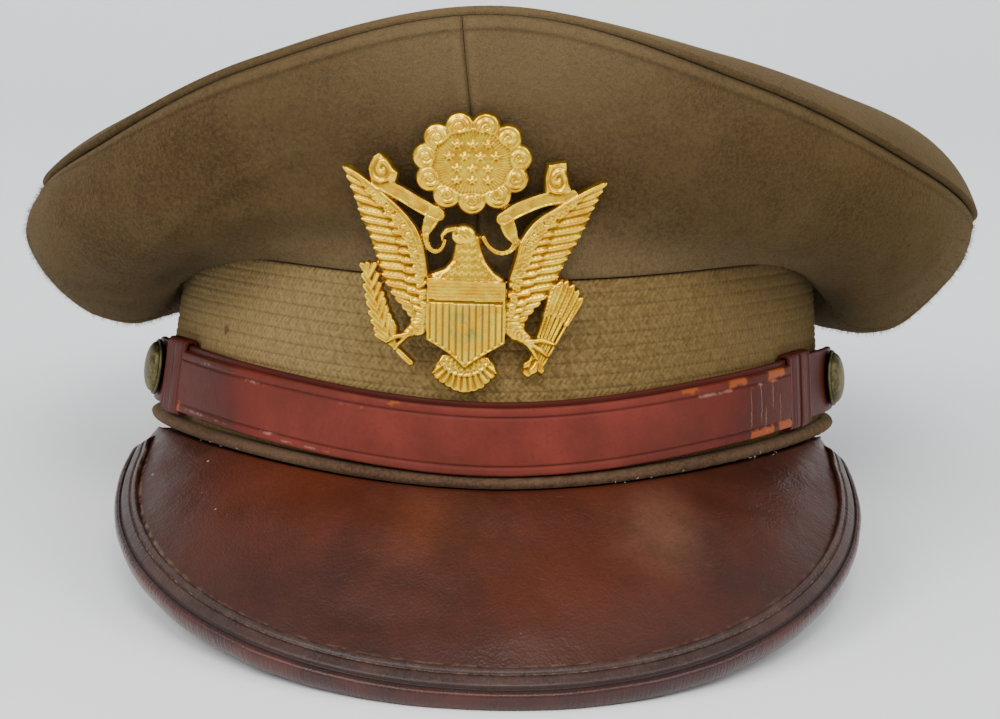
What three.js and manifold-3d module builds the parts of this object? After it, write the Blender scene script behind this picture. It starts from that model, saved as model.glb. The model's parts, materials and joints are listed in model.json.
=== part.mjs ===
// Peaked service cap: brown wool crown in four quarters and a top, a ribbed braid over the head band,
// a bound leather peak, a doubled leather chin strap with two keepers and two domed side buttons,
// and a pierced gilt eagle badge on a screw post with a round nut.
// Millimetres, +Z up, the front of the cap towards -Y, +X on the right of someone who faces the cap.

import * as THREE from "three";
import { mergeVertices } from "three/addons/utils/BufferGeometryUtils.js";
import Module from "manifold-3d";

const wasm = await Module();
wasm.setup();

// Clearances
const GAP = 0.3;
const SEAM_HALF_GAP = 0.18;

// Head band and braid. The oval is the face of the braid at its foot, narrower at the forehead.
// The band stands in a saddle: its sides are higher than its front and rear.
const BAND = { halfWidth: 89.3, halfLength: 94.3, power: 1.89, pointing: 0.209 };
const BAND_HEIGHT = 47;
const BAND_SADDLE = 5.1;
const BAND_TOP_NARROWING = 4.6;
const BAND_TOP_SHIFT = 1.6;
const BAND_STEPS = 36;
const BRAID_THICKNESS = 1.5;
const BRAID_RIB_HEIGHT = 0.35;
const BRAID_RIBS = 14;
const BRAID_FOOT = 2.6;
const HEAD_BAND_THICKNESS = 2.2;
const WELT_CENTRE_OUT = 1.5;
const WELT_HALF_DEPTH = 2.1;
const WELT_CENTRE_UP = 0.8;
const WELT_HALF_HEIGHT = 1.4;

// Crown. The rim is the plan of the seam between the quarters and the top.
const CLOTH = 2;
const CROWN_STEPS = 48;
const FRONT_SEAM_ANGLE = -4.4;
const SIDE_SEAM_ANGLE = 92;
const RIM = { halfWidth: 126, halfLength: 115, power: 2, pointing: 0.1, centreY: 7, sideShift: 4 };
const RIM_MIDDLE_X = 3;
const TOP_HEIGHT = 95.2;
const TOP_FALL = 0.111;
const TOP_SHOULDER = 0.5;
const TOP_OVERHANG = 3;
const TOP_RINGS = [1, 0.965, 0.9, 0.78, 0.5, 0];
const QUARTER_POINTS = 8;
const CROWN_FOOT_OUT = 0.6;

// One row for each direction round the crown, counted from the front towards +X.
// rimUp is the height of the top seam; lowOut and lowUp lead the cloth away from the band,
// highOut and highUp lead it into the top seam; topPower says how late the top rolls over.
const CROWN_TABLE = [
  { angle: 0, rimUp: 106.5, lowOut: 0, lowUp: 32, highOut: -5, highUp: -20, topPower: 7 },
  { angle: 30, rimUp: 92.5, lowOut: 2, lowUp: 16, highOut: -1, highUp: -26, topPower: 5.2 },
  { angle: 60, rimUp: 74, lowOut: 11, lowUp: -3, highOut: 4, highUp: -25, topPower: 3.8 },
  { angle: 90, rimUp: 62, lowOut: 6, lowUp: -42, highOut: 6, highUp: -15, topPower: 4.6 },
  { angle: 120, rimUp: 61, lowOut: 4, lowUp: -40, highOut: 10, highUp: -24, topPower: 6 },
  { angle: 150, rimUp: 68, lowOut: 6, lowUp: -14, highOut: 10, highUp: -26, topPower: 4 },
  { angle: 180, rimUp: 72, lowOut: 5, lowUp: -6, highOut: 8, highUp: -28, topPower: 4 },
  { angle: 210, rimUp: 68, lowOut: 6, lowUp: -14, highOut: 12, highUp: -28, topPower: 3 },
  { angle: 240, rimUp: 66, lowOut: 4, lowUp: -38, highOut: 17, highUp: -30, topPower: 2.2 },
  { angle: 270, rimUp: 66.5, lowOut: 2, lowUp: -46, highOut: 22.5, highUp: -18, topPower: 1.4 },
  { angle: 300, rimUp: 76.5, lowOut: 11, lowUp: -9, highOut: 19, highUp: -31, topPower: 1.4 },
  { angle: 330, rimUp: 95, lowOut: 2, lowUp: 16, highOut: -1, highUp: -26, topPower: 1.6 },
];

// Peak
const PEAK_EDGE = {
  halfWidth: 92.6, halfLength: 96.3, power: 2.05, centreX: -1, centreY: -40, noseShift: 2.4,
};
const PEAK_CORNER_ANGLE = 107;
const PEAK_CORNER_ON_BAND = 81;
const PEAK_CORNER_Y = -12;
const PEAK_CORNER_Z = 3.6;
const PEAK_SLOPE = 0.351;
const PEAK_THICKNESS = 3;
const PEAK_CROWNING = 2.2;
const PEAK_STEPS = 32;
const BINDING_WIDTH = 6.5;
const BINDING_THICKNESS = 1.2;
const BINDING_REACH = 0.965;

// Chin strap. Its foot rises from the front of the cap to the side buttons, beyond the saddle's rise.
const STRAP_WIDTH = 15.6;
const STRAP_THICKNESS = 1.6;
const STRAP_EDGE = 0.45;
const STRAP_STEP_ANGLE = 6;
const STRAP_FOOT = 2.5;
const STRAP_SIDE_RISE = 3.5;
const STRAP_LEFT_END = -70.3;
const STRAP_RIGHT_END = 63.7;
const UNDER_STRAP_THICKNESS = 1.3;
const UNDER_STRAP_RISE = 1.3;
const UNDER_STRAP_END = 91;
const UNDER_STRAP_TIP_ANGLE = 5.2;

// The keepers are loops round the under strap, which they hold off the braid
const KEEPERS = [
  { name: "keeper_left", from: -78, to: -70.8 },
  { name: "keeper_right", from: 64.2, to: 72 },
];
const KEEPER_BACK = 0.8;
const KEEPER_WALL = 1.1;
const KEEPER_LIFT = KEEPER_BACK + GAP;
const LIFT_BEGINS = 38;
const LIFT_ENDS = 56;
const TAB_LIFT = 1.5;
const TAB_BEGINS = 68;

// Side buttons
const BUTTON_ANGLE = 84;
const BUTTON_RADIUS = 7.5;
const BUTTON_HEIGHT = 4.4;
const BUTTON_SIDES = 14;
const SHANK_RADIUS = 1.6;
const WASHER_RADIUS = 4;
const WASHER_THICKNESS = 1;

// Badge: a curved plate that leans with the front of the crown, on a post with a round nut
const BADGE_FOOT = { x: -6.4, y: -95.5, z: 21.4 };
const BADGE_TURN = -1.7;
const BADGE_LEAN = 6.5;
const BADGE_BOW_RADIUS = 75;
const BADGE_BASE = 1.2;
const POST_UP = 34.5;
const POST_RADIUS = 1.5;
const POST_SIDES = 12;
const POST_LENGTH = 10.4;
const NUT_RADIUS = 5;
const NUT_THICKNESS = 2;
const NUT_BACK = 9.5;
const ROUNDEL = { x: -1.2, up: 53.3, halfWidth: 13.6, halfHeight: 11.8, lobes: 11 };
const SHIELD = { top: 27, shoulder: 13.4, tip: 6.7, halfWidth: 8.7, chief: 5.6, pales: 5 };

// Resting plane: through the front of the peak's binding and the rear of the welt
const REST_PRESS = 0.7;

const WOOL = { color: 0x5a4630, roughness: 0.95, metalness: 0 };
const BRAID = { color: 0x7d683e, roughness: 0.95, metalness: 0 };
const STRAP_LEATHER = { color: 0x743636, roughness: 0.45, metalness: 0 };
const PEAK_LEATHER = { color: 0x582b22, roughness: 0.4, metalness: 0 };
const GILT = { color: 0xd0a85c, roughness: 0.4, metalness: 1 };
const OLD_BRASS = { color: 0x6f6138, roughness: 0.5, metalness: 1 };

const radians = THREE.MathUtils.degToRad;

// A sine or cosine bent towards a squarer (power over 2) or more pointed (under 2) oval
function bent(value, power) {
  return Math.sign(value) * Math.abs(value) ** (2 / power);
}

// Plan point of an oval at an angle counted from the front. It can be pointed towards the front,
// and its sides or its nose can be shifted over to +X.
function onOval(oval, degrees) {
  const { centreX = 0, centreY = 0, pointing = 0, sideShift = 0, noseShift = 0 } = oval;
  const side = bent(Math.sin(radians(degrees)), oval.power);
  const forward = bent(Math.cos(radians(degrees)), oval.power);
  const shift = sideShift * side ** 2 + noseShift * forward ** 3;
  const x = centreX + oval.halfWidth * side * (1 - pointing * forward) + shift;
  return new THREE.Vector2(x, centreY - oval.halfLength * forward);
}

function saddle(degrees) {
  return BAND_SADDLE * Math.sin(radians(degrees)) ** 2;
}

// Point a distance out from the braid's face and a distance up the band from its foot
function bandPoint(degrees, out, up) {
  const rise = Math.min(up / BAND_HEIGHT, 1);
  const plan = onOval(
    {
      ...BAND,
      halfWidth: BAND.halfWidth + out - BAND_TOP_NARROWING * rise,
      halfLength: BAND.halfLength + out,
      sideShift: BAND_TOP_SHIFT * rise,
    },
    degrees,
  );
  return new THREE.Vector3(plan.x, plan.y, up + saddle(degrees));
}

// Column of a table whose rows stand at even angles all the way round, on a smooth closed curve
function around(table, column, degrees) {
  const place = THREE.MathUtils.euclideanModulo(degrees, 360) / (360 / table.length);
  const row = Math.floor(place);
  const t = place - row;
  const at = (offset) => table[(row + offset + table.length) % table.length][column];
  const fromSlope = (at(1) - at(-1)) / 2;
  const toSlope = (at(2) - at(0)) / 2;
  const bend = at(1) - at(0);
  const cube = fromSlope + toSlope - 2 * bend;
  const square = 3 * bend - 2 * fromSlope - toSlope;
  return at(0) + t * (fromSlope + t * (square + t * cube));
}

// Welded geometry with its faces turned out
function closedBody(points, faces) {
  const rough = new THREE.BufferGeometry().setFromPoints(points);
  rough.setIndex(faces);
  const welded = mergeVertices(rough, 1e-4);
  const index = welded.index.array;
  const place = (i) => new THREE.Vector3().fromBufferAttribute(welded.attributes.position, i);
  const kept = [];
  let volume = 0;
  for (let i = 0; i < index.length; i += 3) {
    const [a, b, c] = [index[i], index[i + 1], index[i + 2]];
    if (a !== b && b !== c && c !== a) {
      kept.push(a, b, c);
      volume += place(a).dot(place(b).cross(place(c)));
    }
  }
  if (volume < 0) kept.reverse();
  welded.setIndex(kept);
  return welded;
}

// Body through a row of sections with the same number of points, closed round or capped at both ends.
// Point i of a section faces point (last - i) across the wall, which is how a cap is filled.
function loft(sections, closed = false) {
  const count = sections[0].length;
  const faces = [];
  const spans = closed ? sections.length : sections.length - 1;
  for (let i = 0; i < spans; i += 1) {
    const here = i * count;
    const next = ((i + 1) % sections.length) * count;
    for (let j = 0; j < count; j += 1) {
      const k = (j + 1) % count;
      faces.push(here + j, next + j, next + k, here + j, next + k, here + k);
    }
  }
  if (!closed) {
    const end = (sections.length - 1) * count;
    for (let j = 0; j < count / 2 - 1; j += 1) {
      const far = count - 1 - j;
      faces.push(j, j + 1, far, j + 1, far - 1, far);
      faces.push(end + j, end + far, end + j + 1, end + j + 1, end + far, end + far - 1);
    }
  }
  return closedBody(sections.flat(), faces);
}

function toSolid(geometry) {
  const bare = geometry.clone();
  bare.deleteAttribute("normal");
  bare.deleteAttribute("uv");
  const welded = mergeVertices(bare, 1e-4);
  const vertProperties = new Float32Array(welded.attributes.position.array);
  const triVerts = new Uint32Array(welded.index.array);
  return new wasm.Manifold(new wasm.Mesh({ numProp: 3, vertProperties, triVerts }));
}

function toGeometry(solid) {
  const mesh = solid.getMesh();
  const geometry = new THREE.BufferGeometry();
  geometry.setAttribute("position", new THREE.BufferAttribute(mesh.vertProperties, 3));
  geometry.setIndex(new THREE.BufferAttribute(mesh.triVerts, 1));
  return geometry;
}

function cut(geometry, ...tools) {
  let solid = toSolid(geometry);
  for (const tool of tools) solid = solid.subtract(toSolid(tool));
  return toGeometry(solid);
}

function join(geometries) {
  const [first, ...others] = geometries.map(toSolid);
  return toGeometry(others.reduce((whole, solid) => whole.add(solid), first));
}

function evenAngles(steps, from, to) {
  return Array.from({ length: steps + 1 }, (_, i) => from + ((to - from) * i) / steps);
}

// Section of the head band's wall with the cloth welt rolled round its foot
function headBandSection(angle) {
  const inner = -BRAID_THICKNESS - GAP - HEAD_BAND_THICKNESS;
  const outer = -BRAID_THICKNESS - GAP;
  const welt = [100, 55, 10, -35, -80, -125].map((turn) => {
    const out = WELT_CENTRE_OUT + WELT_HALF_DEPTH * Math.cos(radians(turn));
    const up = WELT_CENTRE_UP + WELT_HALF_HEIGHT * Math.sin(radians(turn));
    return bandPoint(angle, out, up);
  });
  return [
    bandPoint(angle, inner, WELT_CENTRE_UP - WELT_HALF_HEIGHT),
    bandPoint(angle, inner, BAND_HEIGHT),
    bandPoint(angle, outer, BAND_HEIGHT),
    bandPoint(angle, outer, WELT_CENTRE_UP + WELT_HALF_HEIGHT),
    ...welt,
  ];
}

function headBand() {
  const angles = evenAngles(BAND_STEPS, 0, 360).slice(0, -1);
  return loft(angles.map((angle) => headBandSection(angle).map(pressed)), true);
}

function braidBand() {
  const pitch = (BAND_HEIGHT - BRAID_FOOT) / BRAID_RIBS;
  const sections = evenAngles(BAND_STEPS, 0, 360).slice(0, -1).map((angle) => {
    const ribs = [];
    for (let i = 0; i < BRAID_RIBS; i += 1) {
      ribs.push(bandPoint(angle, -BRAID_RIB_HEIGHT, BRAID_FOOT + pitch * (i + 0.08)));
      ribs.push(bandPoint(angle, 0, BRAID_FOOT + pitch * (i + 0.5)));
    }
    ribs.push(bandPoint(angle, -BRAID_RIB_HEIGHT, BAND_HEIGHT));
    return [
      bandPoint(angle, -BRAID_THICKNESS, BAND_HEIGHT),
      bandPoint(angle, -BRAID_THICKNESS, BRAID_FOOT),
      ...ribs,
    ];
  });
  return loft(sections, true);
}

// Crown's top on the way from its middle (share 0) to the seam (share 1), which it rolls over
function topPoint(degrees, share) {
  const rim = onOval(RIM, degrees);
  const middle = new THREE.Vector2(RIM_MIDDLE_X, RIM.centreY);
  const overhang = TOP_OVERHANG * 4 * share ** 6 * (1 - share ** 6);
  const plan = middle.clone().lerp(rim, share + overhang / rim.distanceTo(middle));
  const rimPlane = TOP_HEIGHT - TOP_FALL * (rim.y - middle.y);
  const plane = TOP_HEIGHT - TOP_FALL * (plan.y - middle.y);
  const sink = around(CROWN_TABLE, "rimUp", degrees) - rimPlane;
  const rounding = 1 - share ** around(CROWN_TABLE, "topPower", degrees);
  return new THREE.Vector3(plan.x, plan.y, plane + sink * (1 - rounding ** TOP_SHOULDER));
}

// Line of the cloth's outer face in one direction: tucked in over the band, out and up to the top
// seam as the quarter, then in to the middle as the top. The seam is point QUARTER_POINTS.
function crownLine(degrees) {
  const column = (name) => around(CROWN_TABLE, name, degrees);
  const up = new THREE.Vector3(0, 0, 1);
  const footUp = BAND_HEIGHT + GAP;
  const tuck = bandPoint(degrees, -BRAID_THICKNESS - 1, footUp);
  const foot = bandPoint(degrees, CROWN_FOOT_OUT, footUp);
  const rim = topPoint(degrees, 1);
  const outward = new THREE.Vector3(rim.x - foot.x, rim.y - foot.y, 0).normalize();
  const low = foot.clone().addScaledVector(outward, column("lowOut")).addScaledVector(up, column("lowUp"));
  const high = rim.clone().addScaledVector(outward, column("highOut")).addScaledVector(up, column("highUp"));
  const side = new THREE.CubicBezierCurve3(foot, low, high, rim);
  const top = TOP_RINGS.slice(1).map((share) => topPoint(degrees, share));
  return { outward, points: [tuck, ...side.getPoints(QUARTER_POINTS - 1), ...top] };
}

// The cloth's inner face: the outer line moved in by the cloth's thickness, mitred at each bend
function innerLine(points, outward) {
  const sideways = new THREE.Vector3(-outward.y, outward.x, 0);
  const faceNormal = (from, to) => sideways.clone().cross(to.clone().sub(from)).normalize();
  return points.map((point, i) => {
    if (i === points.length - 1) return point.clone().setZ(point.z - CLOTH);
    const after = faceNormal(point, points[i + 1]);
    const before = i === 0 ? after : faceNormal(points[i - 1], point);
    const normal = before.clone().add(after).normalize();
    const mitre = 1 / Math.max(normal.dot(after), 0.65);
    return point.clone().addScaledVector(normal, -CLOTH * mitre);
  });
}

// Cloth on one side of the top seam, its edge drawn back by half of the seam's gap
function crownSection(degrees, from, to) {
  const { outward, points } = crownLine(degrees);
  const inner = innerLine(points, outward);
  const seam = QUARTER_POINTS;
  const neighbour = points[from === seam ? seam + 1 : seam - 1];
  const drawBack = neighbour.clone().sub(points[seam]).setLength(SEAM_HALF_GAP);
  points[seam].add(drawBack);
  inner[seam].add(drawBack);
  return [...points.slice(from, to + 1), ...inner.slice(from, to + 1).reverse()];
}

function crownQuarter(from, to) {
  const steps = Math.round((CROWN_STEPS * (to - from)) / 360);
  const trim = THREE.MathUtils.radToDeg(SEAM_HALF_GAP / BAND.halfWidth);
  const angles = evenAngles(steps, from + trim, to - trim);
  return loft(angles.map((angle) => crownSection(angle, 0, QUARTER_POINTS)));
}

function crownTop() {
  const angles = evenAngles(CROWN_STEPS, 0, 360).slice(0, -1);
  const last = QUARTER_POINTS + TOP_RINGS.length - 1;
  return loft(angles.map((angle) => crownSection(angle, QUARTER_POINTS, last)), true);
}

// Frame across the peak at a share (-1 to 1) of the way from its left to its right corner
function peakFrame(share) {
  const seat = bandPoint(share * PEAK_CORNER_ON_BAND, WELT_CENTRE_OUT + 1, -GAP - 0.6);
  const edgePlan = onOval(PEAK_EDGE, share * PEAK_CORNER_ANGLE);
  const edgeUp = PEAK_CORNER_Z + PEAK_SLOPE * (edgePlan.y - PEAK_CORNER_Y);
  const edge = new THREE.Vector3(edgePlan.x, edgePlan.y, edgeUp);
  const across = edge.clone().sub(seat);
  return { seat, edge, across };
}

// Top face of the peak, a length in from its outer edge
function peakTopPoint(share, inFromEdge) {
  const { seat, edge, across } = peakFrame(share);
  const reach = across.length();
  const t = 1 - Math.min(inFromEdge / reach, 1);
  const crowned = 4 * t * (1 - t) * PEAK_CROWNING * Math.min(reach / 50, 1);
  return seat.clone().lerp(edge, t).add(new THREE.Vector3(0, 0, crowned));
}

// Downward normal of the peak's underside
function peakDown(share) {
  const { seat, edge } = peakFrame(share);
  const ahead = peakFrame(Math.min(share + 0.01, 1)).edge;
  const behind = peakFrame(Math.max(share - 0.01, -1)).edge;
  const normal = ahead.sub(behind).cross(edge.clone().sub(seat)).normalize();
  if (normal.z > 0) normal.negate();
  return normal;
}

function peakSection(share) {
  const reach = peakFrame(share).across.length();
  const down = peakDown(share);
  const margin = bandPoint(share * PEAK_CORNER_ON_BAND, -BRAID_THICKNESS, -GAP - 0.65);
  const shares = [1, 0.66, 0.33, 0];
  const top = shares.map((part) => peakTopPoint(share, part * reach));
  const under = top.map((point) => point.clone().addScaledVector(down, PEAK_THICKNESS));
  const marginUnder = margin.clone().add(new THREE.Vector3(0, 0, -PEAK_THICKNESS));
  return [margin, ...top, ...under.reverse(), marginUnder];
}

// The binding's sections stand at the same shares as the peak's, so that the gap between them is even
const bindingShares = evenAngles(PEAK_STEPS, -BINDING_REACH, BINDING_REACH);

function peak() {
  return loft([-1, ...bindingShares, 1].map(peakSection));
}

// Section of the binding, a leather strip folded over the edge of the peak
function bindingSection(share) {
  const { edge, across } = peakFrame(share);
  const width = Math.min(BINDING_WIDTH, across.length() * 0.4);
  const down = peakDown(share);
  const out = edge.clone().sub(peakTopPoint(share, width)).normalize();
  const lip = edge.clone().addScaledVector(down, PEAK_THICKNESS / 2);
  const half = PEAK_THICKNESS / 2 + GAP;
  const skin = half + BINDING_THICKNESS;
  const nose = GAP + BINDING_THICKNESS;
  const outline = [
    [-width, -skin], [0, -skin], [nose, -half * 0.5], [nose, half * 0.5], [0, skin], [-width, skin],
    [-width, half], [-width / 2, half], [GAP, half], [GAP, -half], [-width / 2, -half], [-width, -half],
  ];
  return outline.map(([outwards, downwards]) =>
    lip.clone().addScaledVector(out, outwards).addScaledVector(down, downwards),
  );
}

function peakBinding() {
  return loft(bindingShares.map((share) => bindingSection(share).map(pressed)));
}

// Height of the chin strap's foot above the foot of the band
function strapFoot(degrees) {
  return STRAP_FOOT + STRAP_SIDE_RISE * Math.sin(radians(degrees)) ** 2;
}

// How far the straps stand off the braid: held off by the keepers, and more at the buttons' tabs
function strapLift(degrees) {
  const keepers = KEEPER_LIFT * THREE.MathUtils.smoothstep(Math.abs(degrees), LIFT_BEGINS, LIFT_ENDS);
  return keepers + TAB_LIFT * THREE.MathUtils.smoothstep(Math.abs(degrees), TAB_BEGINS, BUTTON_ANGLE);
}

// Bent bar of leather with softened edges, between two distances from the braid and two heights
// above the strap's foot. halfAt says how much of the bar's height is left at an angle.
function leatherBar(angles, { inner, outer, low, high, edge, halfAt = () => 1 }) {
  const middle = (low + high) / 2;
  const outline = [
    [inner, low + edge], [inner, high - edge], [inner + edge, high], [outer - edge, high],
    [outer, high - edge], [outer, low + edge], [outer - edge, low], [inner + edge, low],
  ];
  const sections = angles.map((angle) =>
    outline.map(([out, up]) => {
      const kept = middle + (up - middle) * halfAt(angle);
      return bandPoint(angle, out + strapLift(angle), strapFoot(angle) + kept);
    }),
  );
  return loft(sections);
}

const UNDER_STRAP_OUTER = GAP + UNDER_STRAP_THICKNESS;

function strapAngles(from, to) {
  return evenAngles(Math.ceil((to - from) / STRAP_STEP_ANGLE), from, to);
}

// Under run of the strap, from button to button, with round ends and a hole at each button
function strapBack() {
  const straight = UNDER_STRAP_END - UNDER_STRAP_TIP_ANGLE;
  const tip = [0.5, 0.8, 0.95].map((share) => straight + UNDER_STRAP_TIP_ANGLE * share);
  const angles = [
    ...tip.map((angle) => -angle).reverse(), ...strapAngles(-straight, straight), ...tip,
  ];
  const halfAt = (angle) => {
    const into = Math.max(Math.abs(angle) - straight, 0) / UNDER_STRAP_TIP_ANGLE;
    return Math.sqrt(1 - into ** 2);
  };
  const high = STRAP_WIDTH + UNDER_STRAP_RISE;
  const body = { inner: GAP, outer: UNDER_STRAP_OUTER, low: 0, high, edge: STRAP_EDGE, halfAt };
  return cut(leatherBar(angles, body), ...[-1, 1].map(shankHole));
}

// Upper run of the strap, with a raw end beside each keeper
function strapFront() {
  const inner = UNDER_STRAP_OUTER + GAP;
  const body = { inner, outer: inner + STRAP_THICKNESS, low: 0, high: STRAP_WIDTH, edge: STRAP_EDGE };
  return leatherBar(strapAngles(STRAP_LEFT_END, STRAP_RIGHT_END), body);
}

function keeper({ from, to }) {
  const inner = -KEEPER_BACK;
  const outer = UNDER_STRAP_OUTER + GAP + KEEPER_WALL;
  const low = -GAP - KEEPER_WALL;
  const high = STRAP_WIDTH + UNDER_STRAP_RISE + GAP + KEEPER_WALL;
  const loop = leatherBar(evenAngles(2, from, to), { inner, outer, low, high, edge: STRAP_EDGE });
  const hollow = leatherBar(evenAngles(3, from - 2, to + 2), {
    inner: 0,
    outer: outer - KEEPER_WALL,
    low: low + KEEPER_WALL,
    high: high - KEEPER_WALL,
    edge: 0.2,
  });
  return cut(loop, hollow);
}

// Place of a side button: on the face of the braid at the middle of the strap, +Y pointing outward
function buttonPlace(side) {
  const angle = side * BUTTON_ANGLE;
  const up = strapFoot(angle) + (STRAP_WIDTH + UNDER_STRAP_RISE) / 2;
  const centre = bandPoint(angle, 0, up);
  const along = bandPoint(angle + 1, 0, up).sub(bandPoint(angle - 1, 0, up)).normalize();
  const upward = bandPoint(angle, 0, up + 1).sub(bandPoint(angle, 0, up - 1)).normalize();
  const outward = along.clone().cross(upward).normalize();
  const axes = new THREE.Matrix4().makeBasis(along, outward, along.clone().cross(outward));
  return axes.setPosition(centre);
}

// Hole for a button's shank through the strap, the braid and the head band
function shankHole(side) {
  const hole = new THREE.CylinderGeometry(SHANK_RADIUS + GAP, SHANK_RADIUS + GAP, 16, BUTTON_SIDES);
  return hole.applyMatrix4(buttonPlace(side));
}

// Domed button with its shank and the washer that holds it inside the head band
function button(side) {
  const back = UNDER_STRAP_OUTER + strapLift(BUTTON_ANGLE) + GAP;
  const washer = -BRAID_THICKNESS - GAP - HEAD_BAND_THICKNESS - GAP;
  const profile = [
    [0, washer - WASHER_THICKNESS], [WASHER_RADIUS, washer - WASHER_THICKNESS], [WASHER_RADIUS, washer],
    [SHANK_RADIUS, washer], [SHANK_RADIUS, back], [BUTTON_RADIUS * 0.93, back],
    [BUTTON_RADIUS, back + 0.4], [BUTTON_RADIUS, back + 0.9], [BUTTON_RADIUS * 0.95, back + 1.2],
    [BUTTON_RADIUS * 0.72, back + 2.9], [BUTTON_RADIUS * 0.38, back + 4], [0, back + BUTTON_HEIGHT],
  ];
  const turned = profile.map(([radius, along]) => new THREE.Vector2(radius, along));
  return new THREE.LatheGeometry(turned, BUTTON_SIDES).applyMatrix4(buttonPlace(side));
}

// Bends a flat shape (x to the side, y up, z forward) to the badge's bow and sets it on the cap
function ontoCap(geometry) {
  const place = geometry.attributes.position;
  for (let i = 0; i < place.count; i += 1) {
    const turn = place.getX(i) / BADGE_BOW_RADIUS;
    const radius = BADGE_BOW_RADIUS + place.getZ(i);
    const back = BADGE_BOW_RADIUS - radius * Math.cos(turn);
    place.setXYZ(i, radius * Math.sin(turn), back, place.getY(i));
  }
  geometry.rotateY(-radians(BADGE_TURN));
  geometry.rotateX(radians(BADGE_LEAN));
  return geometry.translate(BADGE_FOOT.x, BADGE_FOOT.y, BADGE_FOOT.z);
}

// Flat plate of the badge with a straight-sided outline
function plate(outline, thickness = BADGE_BASE) {
  const shape = new THREE.Shape(outline.map(([x, y]) => new THREE.Vector2(x, y)));
  return new THREE.ExtrudeGeometry(shape, { depth: thickness, bevelEnabled: false });
}

// Strip of the badge along a line of points, each with its own width
function strip(line, thickness) {
  const sides = [[], []];
  line.forEach(([x, y, width], i) => {
    const [beforeX, beforeY] = line[Math.max(i - 1, 0)];
    const [afterX, afterY] = line[Math.min(i + 1, line.length - 1)];
    const along = new THREE.Vector2(afterX - beforeX, afterY - beforeY).setLength(width / 2);
    sides[0].push([x - along.y, y + along.x]);
    sides[1].push([x + along.y, y - along.x]);
  });
  return plate([...sides[0], ...sides[1].reverse()], thickness);
}

// Outline round an ellipse whose radius is scaled by a function of the turn
function roundOutline(x, y, halfWidth, halfHeight, sides, scale = () => 1) {
  return evenAngles(sides, 0, 360).slice(0, -1).map((turn, i) => {
    const [along, upward] = [Math.sin(radians(turn)), Math.cos(radians(turn))];
    return [x + halfWidth * scale(i) * along, y + halfHeight * scale(i) * upward];
  });
}

function mirrored(points) {
  return points.map(([x, ...others]) => [-x, ...others]);
}

// Scalloped roundel with a raised field and a ring of small stars
function badgeRoundel() {
  const { x, up, halfWidth, halfHeight, lobes } = ROUNDEL;
  const scallop = [0.86, 0.99, 0.99];
  const edge = roundOutline(x, up, halfWidth, halfHeight, lobes * 3, (i) => scallop[i % 3]);
  const field = roundOutline(x, up, halfWidth * 0.68, halfHeight * 0.68, 16);
  const star = roundOutline(0, 0, 1.9, 1.9, 10, (i) => (i % 2 ? 0.45 : 1));
  const stars = evenAngles(5, 0, 360).slice(1).map((turn) => {
    const [starX, starUp] = [x + 4.9 * Math.sin(radians(turn)), up + 4.2 * Math.cos(radians(turn))];
    return plate(star.map(([along, upward]) => [starX + along, starUp + upward]), 2.6);
  });
  return [plate(edge, 1.6), plate(field, 2), ...stars];
}

function badgeShield() {
  const { top, shoulder, tip, halfWidth, chief, pales } = SHIELD;
  const edge = [
    [-halfWidth, top], [halfWidth, top], [halfWidth, shoulder], [halfWidth * 0.6, shoulder - 4],
    [0, tip], [-halfWidth * 0.6, shoulder - 4], [-halfWidth, shoulder],
  ];
  const pitch = (2 * halfWidth) / (2 * pales + 1);
  const bars = Array.from({ length: pales }, (_, i) => {
    const x = -halfWidth + pitch * (2 * i + 1.5);
    const foot = Math.abs(x) > halfWidth * 0.6 ? shoulder - 1 : shoulder - 4;
    return strip([[x, foot, pitch], [x, top - chief, pitch]], 2.9);
  });
  const bar = [[-halfWidth, top - chief], [halfWidth, top - chief], [halfWidth, top], [-halfWidth, top]];
  return [plate(edge, 2.5), plate(bar, 3.1), ...bars];
}

// Wing with its arm raised along the inner edge and three flight feathers
function badgeWing() {
  const spread = [
    [-8, 19], [-16, 20], [-20, 28], [-22, 35], [-26.5, 44.5], [-30, 50.5], [-28.5, 51],
    [-22, 46.6], [-13.6, 40], [-9.6, 35.4], [-7.5, 29],
  ];
  const arm = [[-8.8, 26, 4.5], [-11.4, 34.8, 4], [-16, 40.6, 3.2], [-24, 47, 2], [-28.6, 50.4, 0.9]];
  const feathers = [0, 1, 2].map((i) => [
    [-18.5 - 2.2 * i, 29 + 5.5 * i, 1.6], [-11.5 - 2.5 * i, 26 + 6.5 * i, 1.8],
  ]);
  return [{ outline: spread, thickness: 1.3 }, { line: arm, thickness: 2.2 }]
    .concat(feathers.map((line) => ({ line, thickness: 1.7 })));
}

// Bare ribbon from the beak, round under the roundel and out over the wing, with its end turned up
function badgeRibbon() {
  const run = [
    [-3.5, 34.5, 1.6], [-7.2, 32.6, 1.8], [-9.6, 35.6, 2.4],
    [-10.4, 40, 3], [-14, 43.8, 3.2], [-20, 47.6, 3],
  ];
  const end = [[-20.6, 46.6, 3], [-18.6, 50, 3.6], [-19.6, 53.6, 3]];
  const tie = [[-10.4, 40.5, 3], [-9, 46, 3]];
  return [{ line: run, thickness: 1.9 }, { line: end, thickness: 1.9 }, { line: tie, thickness: 1.4 }];
}

function badgeLeg() {
  const leg = [[-7, 17.5, 5], [-11, 13.6, 3.6], [-14.4, 12.4, 3]];
  const toes = [-1, 0, 1].map((place) => [[-13, 12.6, 1.6], [-16.6, 12.6 + place * 1.8, 1.3]]);
  return [{ line: leg, thickness: 2 }].concat(toes.map((line) => ({ line, thickness: 2.3 })));
}

// Both sides of a pair of forms that are drawn for the left
function bothSides(forms) {
  return forms.flatMap(({ outline, line, thickness }) =>
    [(points) => points, mirrored].map((side) =>
      outline ? plate(side(outline), thickness) : strip(side(line), thickness),
    ),
  );
}

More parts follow.
